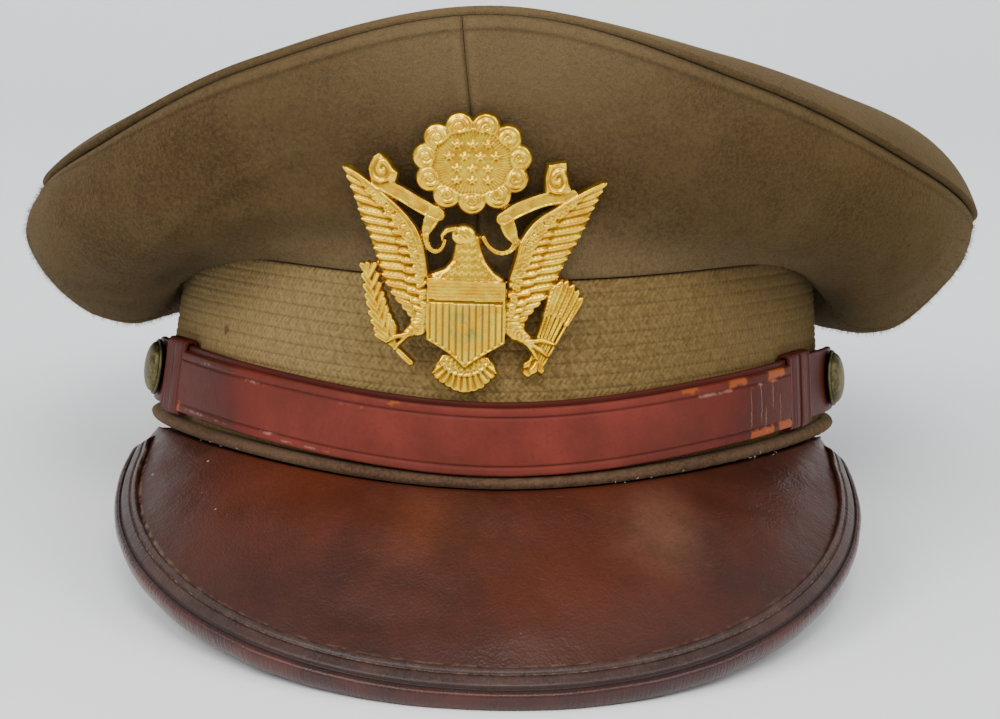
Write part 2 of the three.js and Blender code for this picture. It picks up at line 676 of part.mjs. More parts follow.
function badgeHead() {
  const neck = [[-8, 20], [8, 20], [7.5, 27], [4.6, 30], [2, 36], [-4.6, 35], [-5.6, 30], [-8, 27]];
  const beak = [[-3.2, 38.6], [-6, 37.6], [-7.2, 35.2], [-6.4, 34.2], [-4.4, 35.4], [-3, 35]];
  return [plate(neck, 2.1), plate(roundOutline(-2, 36.6, 3.3, 2.9, 10), 2.7), plate(beak, 2.3)];
}

function badgeTail() {
  const feathers = [-1, 0, 1].map((place) => {
    const rise = 0.6 * place ** 2;
    return strip([[place * 2, 9.5, 1.8], [place * 4.6, 2 + rise, 3.2], [place * 5, 0.4 + rise, 1.6]], 1.9);
  });
  return [plate([[-3, 10], [3, 10], [7.6, 2.8], [4, 0.8], [-4, 0.8], [-7.6, 2.8]], 1.2), ...feathers];
}

// Leafy branch held in the left foot
function badgeBranch() {
  const stem = [[-12.6, 7.6, 1.4], [-15, 12, 1.3], [-18, 18, 1.2], [-21.5, 25, 1]];
  const leaf = (x, y, lean) =>
    strip([[x, y, 0.7], [x + lean * 0.5, y + 1.7, 1.9], [x + lean, y + 3.6, 0.5]], 1.7);
  const knots = [[-15.4, 13], [-17.2, 16.6], [-19, 20.2], [-20.6, 23.4]];
  const leaves = knots.flatMap(([x, y]) => [leaf(x, y, -3.4), leaf(x, y, 1.4)]);
  return [strip(stem, 1.6), leaf(-21.4, 25.4, -1.6), ...leaves];
}

// Bundle of arrows held in the right foot
function badgeArrows() {
  const shafts = [-1, 1].map((place) => {
    const foot = [13.4 + place * 1.1, 3.4 + place * 0.8, 1];
    return strip([foot, [17 + place * 0.8, 13, 1], [22.2 + place * 1.5, 24.4 - place, 1.1]], 1.9);
  });
  const bundle = [[13.4, 4.6, 3.4], [17, 13, 2.8], [21.6, 23.6, 4.4]];
  const flights = [[20.4, 19.6, 3], [22.6, 24.6, 5], [24, 27.4, 4.2]];
  return [strip(bundle, 1.3), strip(flights, 1.6), ...shafts];
}

function badgePost(radius, from, to) {
  const post = new THREE.CylinderGeometry(radius, radius, to - from, POST_SIDES);
  post.rotateX(Math.PI / 2);
  return post.translate(0, POST_UP, (from + to) / 2);
}

function badge() {
  const sides = bothSides([...badgeWing(), ...badgeRibbon(), ...badgeLeg()]);
  const flat = join([
    ...badgeShield(), ...sides, ...badgeRoundel(), ...badgeHead(), ...badgeTail(), ...badgeBranch(),
    ...badgeArrows(), badgePost(POST_RADIUS, 0.5 - POST_LENGTH, 0.5),
  ]);
  return ontoCap(flat);
}

// Round nut on the badge's post, inside the crown
function badgeNut() {
  const hole = badgePost(POST_RADIUS + GAP, -NUT_BACK - 1, 1 - NUT_BACK + NUT_THICKNESS);
  return ontoCap(cut(badgePost(NUT_RADIUS, -NUT_BACK, NUT_THICKNESS - NUT_BACK), hole));
}

// Plane under the cap: it touches the front of the binding and the rear of the welt
function restingPlane(front, rear) {
  let tilt = 0;
  const up = new THREE.Vector3(0, 0, 1);
  const lowest = (points) => points.reduce((low, point) => (point.dot(up) < low.dot(up) ? point : low));
  for (let pass = 0; pass < 8; pass += 1) {
    up.set(0, -Math.sin(tilt), Math.cos(tilt));
    const [toe, heel] = [lowest(front), lowest(rear)];
    tilt = Math.atan2(heel.z - toe.z, heel.y - toe.y);
  }
  up.set(0, -Math.sin(tilt), Math.cos(tilt));
  return { tilt, up, height: lowest(rear).dot(up) + REST_PRESS };
}

const REST = restingPlane(bindingSection(0), headBandSection(180));

// Cloth and leather that would reach below the resting plane are pressed flat on it
function pressed(point) {
  const under = REST.height - point.dot(REST.up);
  return under > 0 ? point.addScaledVector(REST.up, under) : point;
}

const cap = new THREE.Group();
cap.rotation.x = -REST.tilt;

function addPiece(name, geometry, finish) {
  const mesh = new THREE.Mesh(geometry, new THREE.MeshStandardMaterial(finish));
  mesh.name = name;
  cap.add(mesh);
}

addPiece("crown_top", crownTop(), WOOL);
const postHole = ontoCap(badgePost(POST_RADIUS + GAP, -POST_LENGTH, 0));
addPiece("crown_front_right", cut(crownQuarter(FRONT_SEAM_ANGLE, SIDE_SEAM_ANGLE), postHole), WOOL);
addPiece("crown_front_left", cut(crownQuarter(-SIDE_SEAM_ANGLE, FRONT_SEAM_ANGLE), postHole), WOOL);
addPiece("crown_rear_right", crownQuarter(SIDE_SEAM_ANGLE, 180), WOOL);
addPiece("crown_rear_left", crownQuarter(180, 360 - SIDE_SEAM_ANGLE), WOOL);
const shankHoles = [-1, 1].map(shankHole);
addPiece("head_band", cut(headBand(), ...shankHoles), WOOL);
addPiece("braid_band", cut(braidBand(), ...shankHoles), BRAID);
addPiece("peak", peak(), PEAK_LEATHER);
addPiece("peak_binding", peakBinding(), PEAK_LEATHER);
addPiece("strap_back", strapBack(), STRAP_LEATHER);
addPiece("strap_front", strapFront(), STRAP_LEATHER);
for (const loop of KEEPERS) addPiece(loop.name, keeper(loop), STRAP_LEATHER);
addPiece("button_left", button(-1), OLD_BRASS);
addPiece("button_right", button(1), OLD_BRASS);
addPiece("badge", badge(), GILT);
addPiece("badge_nut", badgeNut(), OLD_BRASS);

const stand = new THREE.Group();
stand.add(cap);
stand.updateMatrixWorld(true);
const extent = new THREE.Box3().setFromObject(stand, true);
cap.position.set(-(extent.min.x + extent.max.x) / 2, -(extent.min.y + extent.max.y) / 2, -extent.min.z);

export default stand;
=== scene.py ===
# %% [markdown]
# # A peaked service cap, dressed piece by piece
#
# The solids of the cap come in as a fixed frame, one for each part. Every step below says what a piece
# of the real cap is, makes its mesh in the place of its solid and gives it a finish of shader nodes.

# %% Load the solids
import json
import math

import bpy
import numpy as np
from mathutils import Matrix, Vector
from mathutils.geometry import tessellate_polygon
from numpy.linalg import norm

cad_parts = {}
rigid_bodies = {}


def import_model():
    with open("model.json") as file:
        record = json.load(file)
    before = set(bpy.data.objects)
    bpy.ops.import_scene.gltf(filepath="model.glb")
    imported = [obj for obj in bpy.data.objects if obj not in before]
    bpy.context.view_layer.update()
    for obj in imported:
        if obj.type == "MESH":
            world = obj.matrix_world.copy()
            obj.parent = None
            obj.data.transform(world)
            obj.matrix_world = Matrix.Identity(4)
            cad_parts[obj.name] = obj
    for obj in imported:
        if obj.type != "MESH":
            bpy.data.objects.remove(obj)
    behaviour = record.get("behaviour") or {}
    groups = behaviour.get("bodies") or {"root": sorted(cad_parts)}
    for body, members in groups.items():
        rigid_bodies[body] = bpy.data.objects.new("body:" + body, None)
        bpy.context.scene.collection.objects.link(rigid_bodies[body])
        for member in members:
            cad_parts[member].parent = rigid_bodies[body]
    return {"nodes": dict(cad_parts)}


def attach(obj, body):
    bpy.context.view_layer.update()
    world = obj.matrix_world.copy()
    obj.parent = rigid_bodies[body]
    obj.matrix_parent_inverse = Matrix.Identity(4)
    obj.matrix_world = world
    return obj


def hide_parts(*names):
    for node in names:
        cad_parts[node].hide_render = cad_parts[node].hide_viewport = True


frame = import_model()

for leftover in set(bpy.data.objects.keys()) & {"Cube", "Light", "Camera"}:
    bpy.data.objects.remove(bpy.data.objects[leftover])
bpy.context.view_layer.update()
print("solids:", ", ".join(sorted(frame["nodes"])))

# %% [markdown]
# ## The cap's own millimetres
#
# A cap maker measures from the foot of the band, in millimetres, with the band level. The finished
# cap leans forward on its peak. Pieces could be made level and turned afterwards, but whatever then sank
# into the table couldn't be pressed flat on it, as here: one helper leans, places and presses points.

# %% Lean and place of the cap
CAP_LEAN = -0.18389
CAP_PLACE = np.array([-1.602, 4.534, 17.453])
MILLIMETRE = 0.001


def onto_table(points):
    """Points in the cap's millimetres, leaned and placed in the frame's metres."""
    cos, sin = math.cos(CAP_LEAN), math.sin(CAP_LEAN)
    x, y, z = points[..., 0], points[..., 1], points[..., 2]
    leaned = np.stack([x, cos * y - sin * z, sin * y + cos * z], -1) + CAP_PLACE
    leaned[..., 2] = np.maximum(leaned[..., 2], 0)
    return leaned * MILLIMETRE


print("lean: %.1f degrees" % math.degrees(CAP_LEAN))

# %% [markdown]
# ## From grids of points to meshes
#
# Every piece here is a grid: sections along the piece, and points round each section. Modifiers could
# make such forms, but quads between neighbours are exact and follow the flow of the cloth or leather.

# %% Grids and closed ends
def grid_faces(sections, count, ring=False, loop=True):
    """Quads between the sections of a grid. A ring joins the last section to the first."""
    row = np.arange(sections if ring else sections - 1)[:, None]
    column = np.arange(count if loop else count - 1)[None, :]
    next_row, next_column = (row + 1) % sections, (column + 1) % count
    corners = [row * count + column, row * count + next_column,
               next_row * count + next_column, next_row * count + column]
    return np.stack(np.broadcast_arrays(*corners), -1).reshape(-1, 4)


def end_caps(sections, count):
    """Faces that close a wall's two ends, point i of a section being opposite point count - 1 - i."""
    near = np.arange(count // 2 - 1)
    cap = np.stack([near, near + 1, count - 2 - near, count - 1 - near], -1)
    return np.concatenate([cap, cap[:, ::-1] + (sections - 1) * count])


def outline_cap(outline):
    """Triangles that fill a flat outline, each as a quad with its last corner twice."""
    flat = [[Vector((x, y, 0)) for x, y in outline]]
    return np.array([[a, b, c, c] for a, b, c in tessellate_polygon(flat)])


def filled_tube(outlines):
    """Faces of a tube whose sections are flat outlines, the first and the last one filled."""
    sections, count = outlines.shape[:2]
    near, far = (outline_cap(outlines[i]) for i in (0, -1))
    return np.concatenate([grid_faces(sections, count), near, far[:, [1, 0, 2, 3]] + (sections - 1) * count])


print("two open sections of four points:", len(grid_faces(2, 4, loop=False)), "quads")

# %% [markdown]
# ## From faces to pieces
#
# A clean piece has no doubled points, no faces shrunk to a line, and all its faces turned outwards.
# Edit mode has a tool for each of these; in a script plain arrays are faster.

# %% Welding and pieces
WELD_STEPS = 2000  # for each millimetre


def weld(points, faces):
    """Joins points that lie on each other, and drops unused points and faces that shrink to a line."""
    used, faces = np.unique(faces, return_inverse=True)
    keys = np.round(points[used] * WELD_STEPS).astype(np.int64)
    _, first, joined = np.unique(keys, axis=0, return_index=True, return_inverse=True)
    kept = []
    for face in joined.reshape(-1)[faces.reshape(-1, 4)].tolist():
        corners = [corner for i, corner in enumerate(face) if corner != face[i - 1]]
        if len(set(corners)) > 2:
            kept.append(corners)
    return used[first], kept


def make_piece(name, points, faces, finish, node=None, marks=None, measures=None):
    """Mesh object that rides on the cap. Marks are numbers at the points, such as how deep in a
    groove a point lies; measures are two lengths in millimetres, kept as a UV map."""
    points = points.reshape(-1, 3)
    first, kept = weld(points, np.asarray(faces))
    mesh = bpy.data.meshes.new(name)
    placed = onto_table(points[first])
    mesh.from_pydata(placed.tolist(), [], kept)
    for mark, values in (marks or {}).items():
        layer = mesh.attributes.new(mark, "FLOAT", "POINT")
        layer.data.foreach_set("value", np.ravel(values)[first].astype(np.float32))
    if measures is not None:
        corner = np.zeros(len(mesh.loops), np.int32)
        mesh.loops.foreach_get("vertex_index", corner)
        laid = measures.reshape(-1, 2)[first][corner]
        mesh.uv_layers.new(name="millimetres").data.foreach_set("uv", laid.ravel().astype(np.float32))
    mesh.materials.append(finish)
    return finish_piece(bpy.data.objects.new(name, mesh), node)


def finish_piece(piece, node):
    """Turns a piece's faces out, shades it smooth and seats it in the frame."""
    mesh = piece.data
    bpy.context.scene.collection.objects.link(piece)
    mesh.calc_loop_triangles()
    corners = np.zeros(len(mesh.loop_triangles) * 3, np.int32)
    mesh.loop_triangles.foreach_get("vertices", corners)
    place = np.zeros(len(mesh.vertices) * 3)
    mesh.vertices.foreach_get("co", place)
    a, b, c = np.moveaxis(place.reshape(-1, 3)[corners.reshape(-1, 3)], 1, 0)
    if np.einsum("ij,ij->", a, np.cross(b, c)) < 0:
        mesh.flip_normals()
    mesh.polygons.foreach_set("use_smooth", [True] * len(mesh.polygons))
    mesh.update()
    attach(piece, "root")
    for name in [node] if isinstance(node, str) else node or []:
        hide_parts(name)
    print(f"{piece.name}: {len(corners) // 3} triangles")
    return piece


print("points that lie within about", 1 / WELD_STEPS, "mm of each other become one")

# %% [markdown]
# ## Small tools for shapes
#
# Cloth and leather have few sharp forms. A smooth step shapes whatever begins and ends softly, a ridge
# the seams and creases, and slow waves the unevenness of handwork. Textures could displace the mesh
# too, but a formula gives its height to every piece that asks.

# %% Steps, ridges, corners and slow waves
def smooth_step(value, low, high):
    share = np.clip((value - low) / (high - low), 0, 1)
    return share * share * (3 - 2 * share)


def ridge(value, centre, width):
    """Soft bump of height 1 at the centre, about as wide as twice the width."""
    return np.exp(-(((value - centre) / width) ** 2))


def corner_drop(from_edge, radius):
    """How far a rounded corner falls at a distance from its edge, as a share of its radius."""
    return 1 - np.sqrt(np.clip(1 - (1 - np.minimum(from_edge / radius, 1)) ** 2, 0, 1))


def run_along(line):
    """Length in millimetres from the start of a line to each of its points."""
    return np.concatenate([[0], np.cumsum(norm(np.diff(line, axis=0), axis=1))])


def slow_waves(points, length, seed, count=14):
    """Smooth unevenness between about -1 and 1, with waves about as long as the given length."""
    draw = np.random.default_rng(seed)
    towards = draw.normal(size=(count, 3))
    towards /= norm(towards, axis=1)[:, None]
    pace = 2 * math.pi / (length * draw.uniform(0.7, 1.6, count))
    turns = points @ (towards * pace[:, None]).T + draw.uniform(0, 2 * math.pi, count)
    return np.sin(turns).sum(-1) / math.sqrt(count)


def outward_normals(grid, ring=False):
    """Normals of a grid of points, its rows round the cap and its columns up the surface."""
    if ring:
        padded = np.concatenate([grid[-1:], grid, grid[:1]])
        across = np.gradient(padded, axis=0)[1:-1]
    else:
        across = np.gradient(grid, axis=0)
    normal = np.cross(across, np.gradient(grid, axis=1))
    return normal / np.maximum(norm(normal, axis=-1, keepdims=True), 1e-9)


print("a ridge 1 mm wide, 1 mm off its middle: %.2f" % ridge(1, 0, 1))

# %% [markdown]
# ## Shader nodes by hand
#
# Each finish is a Principled shader fed by noise, ramps and bumps. Painted pictures could do it, but
# noise in the object's own space has no seams and stays sharp close up. The helper below keeps the node
# code short: it adds a node, sets its fields and plugs in whatever it is given.

# %% A helper for finishes
class Finish:
    """A procedural finish, built node by node."""

    def __init__(self, name, **fields):
        self.material = bpy.data.materials.new(name)
        self.material.use_nodes = True
        self.tree = self.material.node_tree
        self.shader = self.tree.nodes["Principled BSDF"]
        self.place = self.node("TexCoord").outputs["Object"]
        self.set(self.shader, fields)

    def plug(self, socket, value):
        """Links a socket to another one, or sets it to a number or a colour."""
        if isinstance(value, bpy.types.NodeSocket):
            self.tree.links.new(value, socket)
        elif isinstance(value, tuple) and socket.type == "RGBA":
            socket.default_value = (*value, 1)
        else:
            socket.default_value = value

    def set(self, node, fields):
        for field, value in fields.items():
            self.plug(node.inputs[field], value)

    def node(self, kind, settings=(), **fields):
        made = self.tree.nodes.new("ShaderNode" + kind)
        for setting, value in dict(settings).items():
            setattr(made, setting, value)
        self.set(made, fields)
        return made

    def noise(self, scale, detail=4.0, roughness=0.5, place=None):
        vector = self.place if place is None else place
        made = self.node("TexNoise", Vector=vector, Scale=scale, Detail=detail, Roughness=roughness)
        return made.outputs["Fac"]

    def stretched(self, place, scales):
        """Coordinates scaled one way more than another, for grain and long scratches."""
        return self.node("Mapping", Vector=place, Scale=scales).outputs["Vector"]

    def maths(self, operation, first, second=0.0):
        made = self.node("Math", {"operation": operation})
        self.plug(made.inputs[0], first)
        self.plug(made.inputs[1], second)
        return made.outputs[0]

    def times(self, first, second):
        return self.maths("MULTIPLY", first, second)

    def span(self, value, low, high, to_low=0.0, to_high=1.0):
        """Value brought from one span to another, with soft ends."""
        made = self.node("MapRange", {"interpolation_type": "SMOOTHSTEP"})
        for socket, number in zip(made.inputs[:5], (value, low, high, to_low, to_high)):
            self.plug(socket, number)
        return made.outputs[0]

    def within(self, value, low, high, soft):
        """1 between two numbers and 0 beyond them, with soft sides."""
        rise = self.span(value, low - soft, low + soft)
        fall = self.span(value, high - soft, high + soft, 1.0, 0.0)
        return self.times(rise, fall)

    def blend(self, share, first, second):
        """Colour that goes from the first to the second as the share goes from 0 to 1."""
        made = self.node("Mix", {"data_type": "RGBA"})
        for socket, value in zip((made.inputs[0], made.inputs[6], made.inputs[7]), (share, first, second)):
            self.plug(socket, value)
        return made.outputs[2]

    def mark(self, name):
        """A number that the mesh carries at its points."""
        return self.node("Attribute", {"attribute_name": name}).outputs["Fac"]

    def measures(self):
        """The two lengths in millimetres that a piece carries as its UV map."""
        laid = self.node("UVMap", {"uv_map": "millimetres"}).outputs["UV"]
        split = self.node("SeparateXYZ", Vector=laid)
        return laid, split.outputs["X"], split.outputs["Y"]

    def bump(self, *heights):
        """Bumps on top of each other, each given as (height, distance in metres)."""
        normal = None
        for height, distance in heights:
            fields = {"Height": height, "Distance": distance, "Strength": 1.0}
            if normal is not None:
                fields["Normal"] = normal
            normal = self.node("Bump", **fields).outputs["Normal"]
        self.set(self.shader, {"Normal": normal})

    def done(self, colour, roughness=None):
        """Plugs in the colour and the roughness, and hands the material over."""
        self.plug(self.shader.inputs["Base Color"], colour)
        if roughness is not None:
            self.plug(self.shader.inputs["Roughness"], roughness)
        print(f"finish {self.material.name}: {len(self.tree.nodes)} nodes")
        return self.material


print("what a finish can do:", ", ".join(step for step in vars(Finish) if step[0] != "_"))

# %% [markdown]
# ## Wool felt
#
# The crown is milled wool in olive brown: a mist of dark, olive and tan fibres, lighter where it is
# rubbed along the seams. The crest and the cloth low in front are painted lighter as highlights, and the
# right side is painted darker as shade. A weave would be wrong, as milling hides it, so two sizes of noise
# mix the fibres, a slow one fades the cloth and a soft sheen stands for the nap. Marks on the mesh say
# where the wool is rubbed, where light is painted on it and where shade is painted on it.

# %% Wool finish
def wool_finish(name, dark, middle, light, worn):
    wool = Finish(name, **{"Roughness": 0.95, "Specular IOR Level": 0.08, "Sheen Weight": 0.1,
                           "Sheen Roughness": 0.4, "Sheen Tint": (1.0, 0.78, 0.45)})
    fibres = wool.noise(1150.0, 3.0, 0.65)
    fine = wool.noise(3200.0, 2.0, 0.6)
    cloud = wool.noise(26.0, 4.0, 0.6)
    mist = wool.blend(wool.span(fibres, 0.3, 0.72), dark, middle)
    mist = wool.blend(wool.span(fine, 0.52, 0.8, 0.0, 0.55), mist, light)
    faded = wool.blend(wool.span(cloud, 0.35, 0.7, 0.0, 0.35), mist, light)
    # The nap mark lightens the rubbed seams, and also paints light on the cloth low in front.
    rim = wool.times(wool.mark("nap_and_painted_light"), wool.span(fibres, 0.2, 0.8, 0.5, 1.0))
    colour = wool.blend(rim, faded, worn)
    split = wool.node("SeparateXYZ", Vector=wool.place)
    # Painted highlight: the crest, which faces the light from above, is painted lighter.
    crest_highlight = wool.times(wool.span(split.outputs["Z"], 0.098, 0.138, 0.0, 0.75),
                       wool.span(wool.maths("ABSOLUTE", split.outputs["X"]), 0.015, 0.06, 1.0, 0.25))
    colour = wool.blend(wool.times(crest_highlight, wool.span(fine, 0.35, 0.65, 0.6, 1.0)), colour, worn)
    # Painted shade: the right side of the crown is painted darker and less blue.
    right_side_shade = wool.span(split.outputs["X"], 0.045, 0.12, 0.0, 0.45)
    colour = wool.blend(right_side_shade, colour, (0.066, 0.042, 0.0095))
    # Painted shade where the groove mark lies: in the seams and in the two pockets.
    shaded = wool.blend(wool.mark("groove"), colour, (0.013, 0.007, 0.003))
    wool.bump((wool.noise(330.0, 3.0, 0.6), 0.0003), (fibres, 0.00035), (fine, 0.00015))
    return wool.done(shaded)


CROWN_WOOL = wool_finish("olive brown wool", (0.034, 0.019, 0.0075), (0.077, 0.0465, 0.018),
                         (0.125, 0.083, 0.036), (0.165, 0.115, 0.056))

# %% [markdown]
# ## The band's oval
#
# A head is an oval, narrower at the forehead. It could be a drawn curve, but one formula, a sine and a
# cosine bent towards a squarer oval, serves the band, the rim and the edge of the peak. Angles are
# counted from the front of the cap towards the right.

# %% Oval, saddle and band
BAND = {"half_width": 89.3, "half_length": 94.3, "power": 1.89, "pointing": 0.209}
BAND_HEIGHT = 47
BAND_SADDLE = 5.1
BAND_TOP_NARROWING = 4.6
BAND_TOP_SHIFT = 1.6


def bent(value, power):
    return np.sign(value) * np.abs(value) ** (2 / power)


def on_oval(oval, degrees):
    """Plan point of an oval, each of its measures a number or an array."""
    turn = np.radians(degrees)
    side, forward = bent(np.sin(turn), oval["power"]), bent(np.cos(turn), oval["power"])
    shift = oval.get("side_shift", 0) * side**2 + oval.get("nose_shift", 0) * forward**3
    narrowing = 1 - oval.get("pointing", 0) * forward
    x = oval.get("centre_x", 0) + oval["half_width"] * side * narrowing + shift
    return x, oval.get("centre_y", 0) - oval["half_length"] * forward


def saddle(degrees):
    return BAND_SADDLE * np.sin(np.radians(degrees)) ** 2


def band_point(degrees, out, up):
    """Point a distance out from the braid's face and a distance up the band from its foot."""
    degrees, out, up = np.broadcast_arrays(degrees, out, up)
    rise = np.minimum(up / BAND_HEIGHT, 1)
    oval = dict(BAND, side_shift=BAND_TOP_SHIFT * rise)
    oval["half_width"] = BAND["half_width"] + out - BAND_TOP_NARROWING * rise
    oval["half_length"] = BAND["half_length"] + out
    x, y = on_oval(oval, degrees)
    return np.stack([x, y, up + saddle(degrees)], -1)


def lengths_round(degrees, out, up):
    """Length in millimetres round the band at each angle, counted from the front."""
    fine = np.linspace(-185, 265, 1801)
    line = band_point(fine, out, up)
    run = run_along(line)
    return np.interp(degrees, fine, run) - np.interp(0, fine, run)


print("round the band: %.0f mm" % (lengths_round(180, 0, 20) - lengths_round(-180, 0, 20)))

# %% [markdown]
# ## The crown's shape
#
# The crown is four quarters and a top. In each direction the cloth leaves the band, goes out and up to
# the top seam and then in to the middle. Simulated cloth would fall as it likes, so a short table says
# for each direction how the cloth leaves and arrives, and a smooth closed curve goes through its rows.

# %% Crown table and lines
RIM = {"half_width": 126, "half_length": 115, "power": 2, "pointing": 0.1, "centre_y": 7, "side_shift": 4}
RIM_MIDDLE = (3, 7)
TOP_HEIGHT = 94.6
TOP_FALL = 0.111
TOP_OVERHANG = 0.7
TOP_EDGE = 0.9
CLOTH = 2
FOOT_UP = BAND_HEIGHT + 0.3
TUCK_OUT, FOOT_OUT = -2.5, 0.6
CROWN_COLUMNS = ("rim_up", "low_out", "low_up", "high_out", "high_up", "top_power")
CROWN_ROWS = [
    (106.5, 0, 32, -5, -20, 6),
    (92.5, 2, 16, -1, -26, 4.2),
    (74, 11, -3, 4, -25, 4),
    (62, 6, -42, 6, -15, 5.6),
    (61, 4, -40, 10, -24, 8),
    (68, 6, -14, 10, -26, 5.8),
    (72, 5, -6, 8, -28, 5.8),
    (68, 6, -14, 12, -28, 4.4),
    (66, 4, -38, 17, -30, 3.3),
    (66.5, 2, -46, 22.5, -18, 2.2),
    (76.5, 11, -9, 19, -31, 2.1),
    (95, 2, 16, -1, -26, 1.9),
]
CROWN = dict(zip(CROWN_COLUMNS, np.array(CROWN_ROWS, float).T))


def around(column, degrees):
    """Column of the crown's table on a smooth closed curve through its rows, 30 degrees apart."""
    values = CROWN[column]
    place = np.mod(degrees, 360) / 30
    row = np.floor(place).astype(int)
    t = place - row
    before, here, after, beyond = (values[(row + k) % len(values)] for k in (-1, 0, 1, 2))
    from_slope, to_slope, rise = (after - before) / 2, (beyond - here) / 2, after - here
    cube = from_slope + to_slope - 2 * rise
    square = 3 * rise - 2 * from_slope - to_slope
    return here + t * (from_slope + t * (square + t * cube))


def top_point(degrees, share):
    """Point of the crown's top on the way from its middle (share 0) to the seam (share 1)."""
    degrees, share = np.broadcast_arrays(degrees, share)
    rim_x, rim_y = on_oval(RIM, degrees)
    away_x, away_y = rim_x - RIM_MIDDLE[0], rim_y - RIM_MIDDLE[1]
    overhang = TOP_OVERHANG * 4 * share**6 * (1 - share**6)
    reach = share + overhang / np.hypot(away_x, away_y)
    x, y = RIM_MIDDLE[0] + away_x * reach, RIM_MIDDLE[1] + away_y * reach
    sink = around("rim_up", degrees) - (TOP_HEIGHT - TOP_FALL * away_y)
    rounding = 1 - np.sqrt(1 - TOP_EDGE * share ** around("top_power", degrees))
    z = TOP_HEIGHT - TOP_FALL * (y - RIM_MIDDLE[1]) + sink * rounding / (1 - math.sqrt(1 - TOP_EDGE))
    return np.stack([x, y, z], -1)


def side_lines(degrees, samples=160):
    """Cloth of the quarters in each direction: tucked in over the band, out, and up to the seam."""
    tuck = band_point(degrees, TUCK_OUT, FOOT_UP)
    foot = band_point(degrees, FOOT_OUT, FOOT_UP)
    rim = top_point(degrees, 1.0)
    outward = (rim - foot) * (1, 1, 0)
    outward /= norm(outward, axis=1)[:, None]
    upward = np.array([0, 0, 1])
    low = foot + outward * around("low_out", degrees)[:, None] + upward * around("low_up", degrees)[:, None]
    high = rim + outward * around("high_out", degrees)[:, None] + upward * around("high_up", degrees)[:, None]
    t = np.linspace(0, 1, samples)[None, :, None]
    foot, low, high, rim = (point[:, None, :] for point in (foot, low, high, rim))
    curve = foot * (1 - t) ** 3 + low * 3 * t * (1 - t) ** 2 + high * 3 * t**2 * (1 - t) + rim * t**3
    return np.concatenate([tuck[:, None, :], curve], 1)


print("rim at the front: %.0f mm up" % top_point(0, 1.0)[2])

# %% [markdown]
# ## Seams that show
#
# A seam in thick wool isn't a line drawn on the cloth. The two edges dip into each other, and the
# turned-in allowance lifts the cloth beside them in a low flat ridge about 3 mm wide. A bump would
# vanish at the outline, so this is real relief, on a grid that is fine beside each seam only.

# %% Seam relief and spacing
SEAM_STEPS = np.array([0, 0.15, 0.32, 0.5, 0.75, 1.05, 1.4, 1.8, 2.2, 2.6, 3.0, 3.4, 3.8, 4.3, 5, 6, 7.3])
ALLOWANCE = 3.1
SEAM_DIP = 0.17
ALLOWANCE_RISE = 0.3
SEAM_HALF_GAP = 0.06


def seam_relief(away):
    """Height of the cloth at a distance from a seam, in millimetres."""
    lift = smooth_step(away, 0.3, 1.0) * (1 - smooth_step(away, ALLOWANCE - 0.5, ALLOWANCE + 0.6))
    return ALLOWANCE_RISE * lift - SEAM_DIP * ridge(away, 0, 0.5)


def spaced(length, plain_step, fine_start=True, fine_end=True):
    """Places from 0 to a length, fine beside a seam at either end."""
    start = SEAM_STEPS if fine_start else np.array([0.0])
    end = length - (SEAM_STEPS[::-1] if fine_end else np.array([0.0]))
    count = max(int((end[0] - start[-1]) / plain_step), 1)
    middle = np.linspace(start[-1], end[0], count + 1)[1:-1]
    return np.concatenate([start, middle, end])


def resampled(lines, distances):
    """Points of each line at distances from its far end, where the seam is."""
    made = np.empty((len(lines), len(distances), 3))
    away = np.empty((len(lines), len(distances)))
    for i, line in enumerate(lines):
        run = run_along(line)
        stretch = run[-1] / distances[-1]
        eased = distances * (1 + (stretch - 1) * smooth_step(distances, 6, distances[-1]))
        away[i] = eased
        for axis in range(3):
            made[i, :, axis] = np.interp(run[-1] - eased, run, line[:, axis])
    return made, away


print("relief in a seam and beside it: %.2f, %.2f mm" % (seam_relief(0), seam_relief(1.6)))

# %% [markdown]
# ## Folds of an old crown
#
# Years of wear leave soft folds: a light one that rises from the left of the badge, a slack belly over
# each temple and small dents. They could be sculpted, but rows of a table can be read and moved: where
# a fold starts and ends, how wide it is and how far it lifts the cloth.

# %% Folds table
FOLDS = [  # from angle and share, to angle and share, width, lift
    (-22, 0.3, -62, 0.52, 7.0, 1.1),
    (-28, 0.63, -54, 0.47, 3.0, 0.7),
    (-20, 0.12, -55, 0.3, 6.0, -1.1),
    (-66, 0.75, -96, 0.5, 10.0, 1.0),
    (24, 0.25, 58, 0.42, 8.0, 0.8),
    (30, 0.6, 66, 0.75, 9.0, -0.8),
    (72, 0.35, 108, 0.6, 9.0, 1.1),
    (128, 0.3, 156, 0.7, 10.0, 1.4),
    (170, 0.7, 205, 0.4, 11.0, -1.3),
    (214, 0.3, 244, 0.65, 9.0, 1.3),
]
UNEVENNESS = 0.55


def fold_relief(degrees, share, spread):
    """Lift of the cloth by the folds; spread is millimetres for each degree and for the whole side."""
    total = np.zeros(np.broadcast(degrees, share).shape)
    across_angle, across_share = spread
    for from_angle, from_share, to_angle, to_share, width, lift in FOLDS:
        turn = (np.mod(degrees - from_angle + 180, 360) - 180) * across_angle
        climb = (share - from_share) * across_share
        run_x = (to_angle - from_angle) * across_angle
        run_y = (to_share - from_share) * across_share
        length = math.hypot(run_x, run_y)
        along = (turn * run_x + climb * run_y) / length
        off = (turn * run_y - climb * run_x) / length
        ends = smooth_step(along, -12, 12) * (1 - smooth_step(along, length - 12, length + 12))
        total = total + lift * ends * ridge(off, 0, width)
    return total


print("folds:", len(FOLDS))
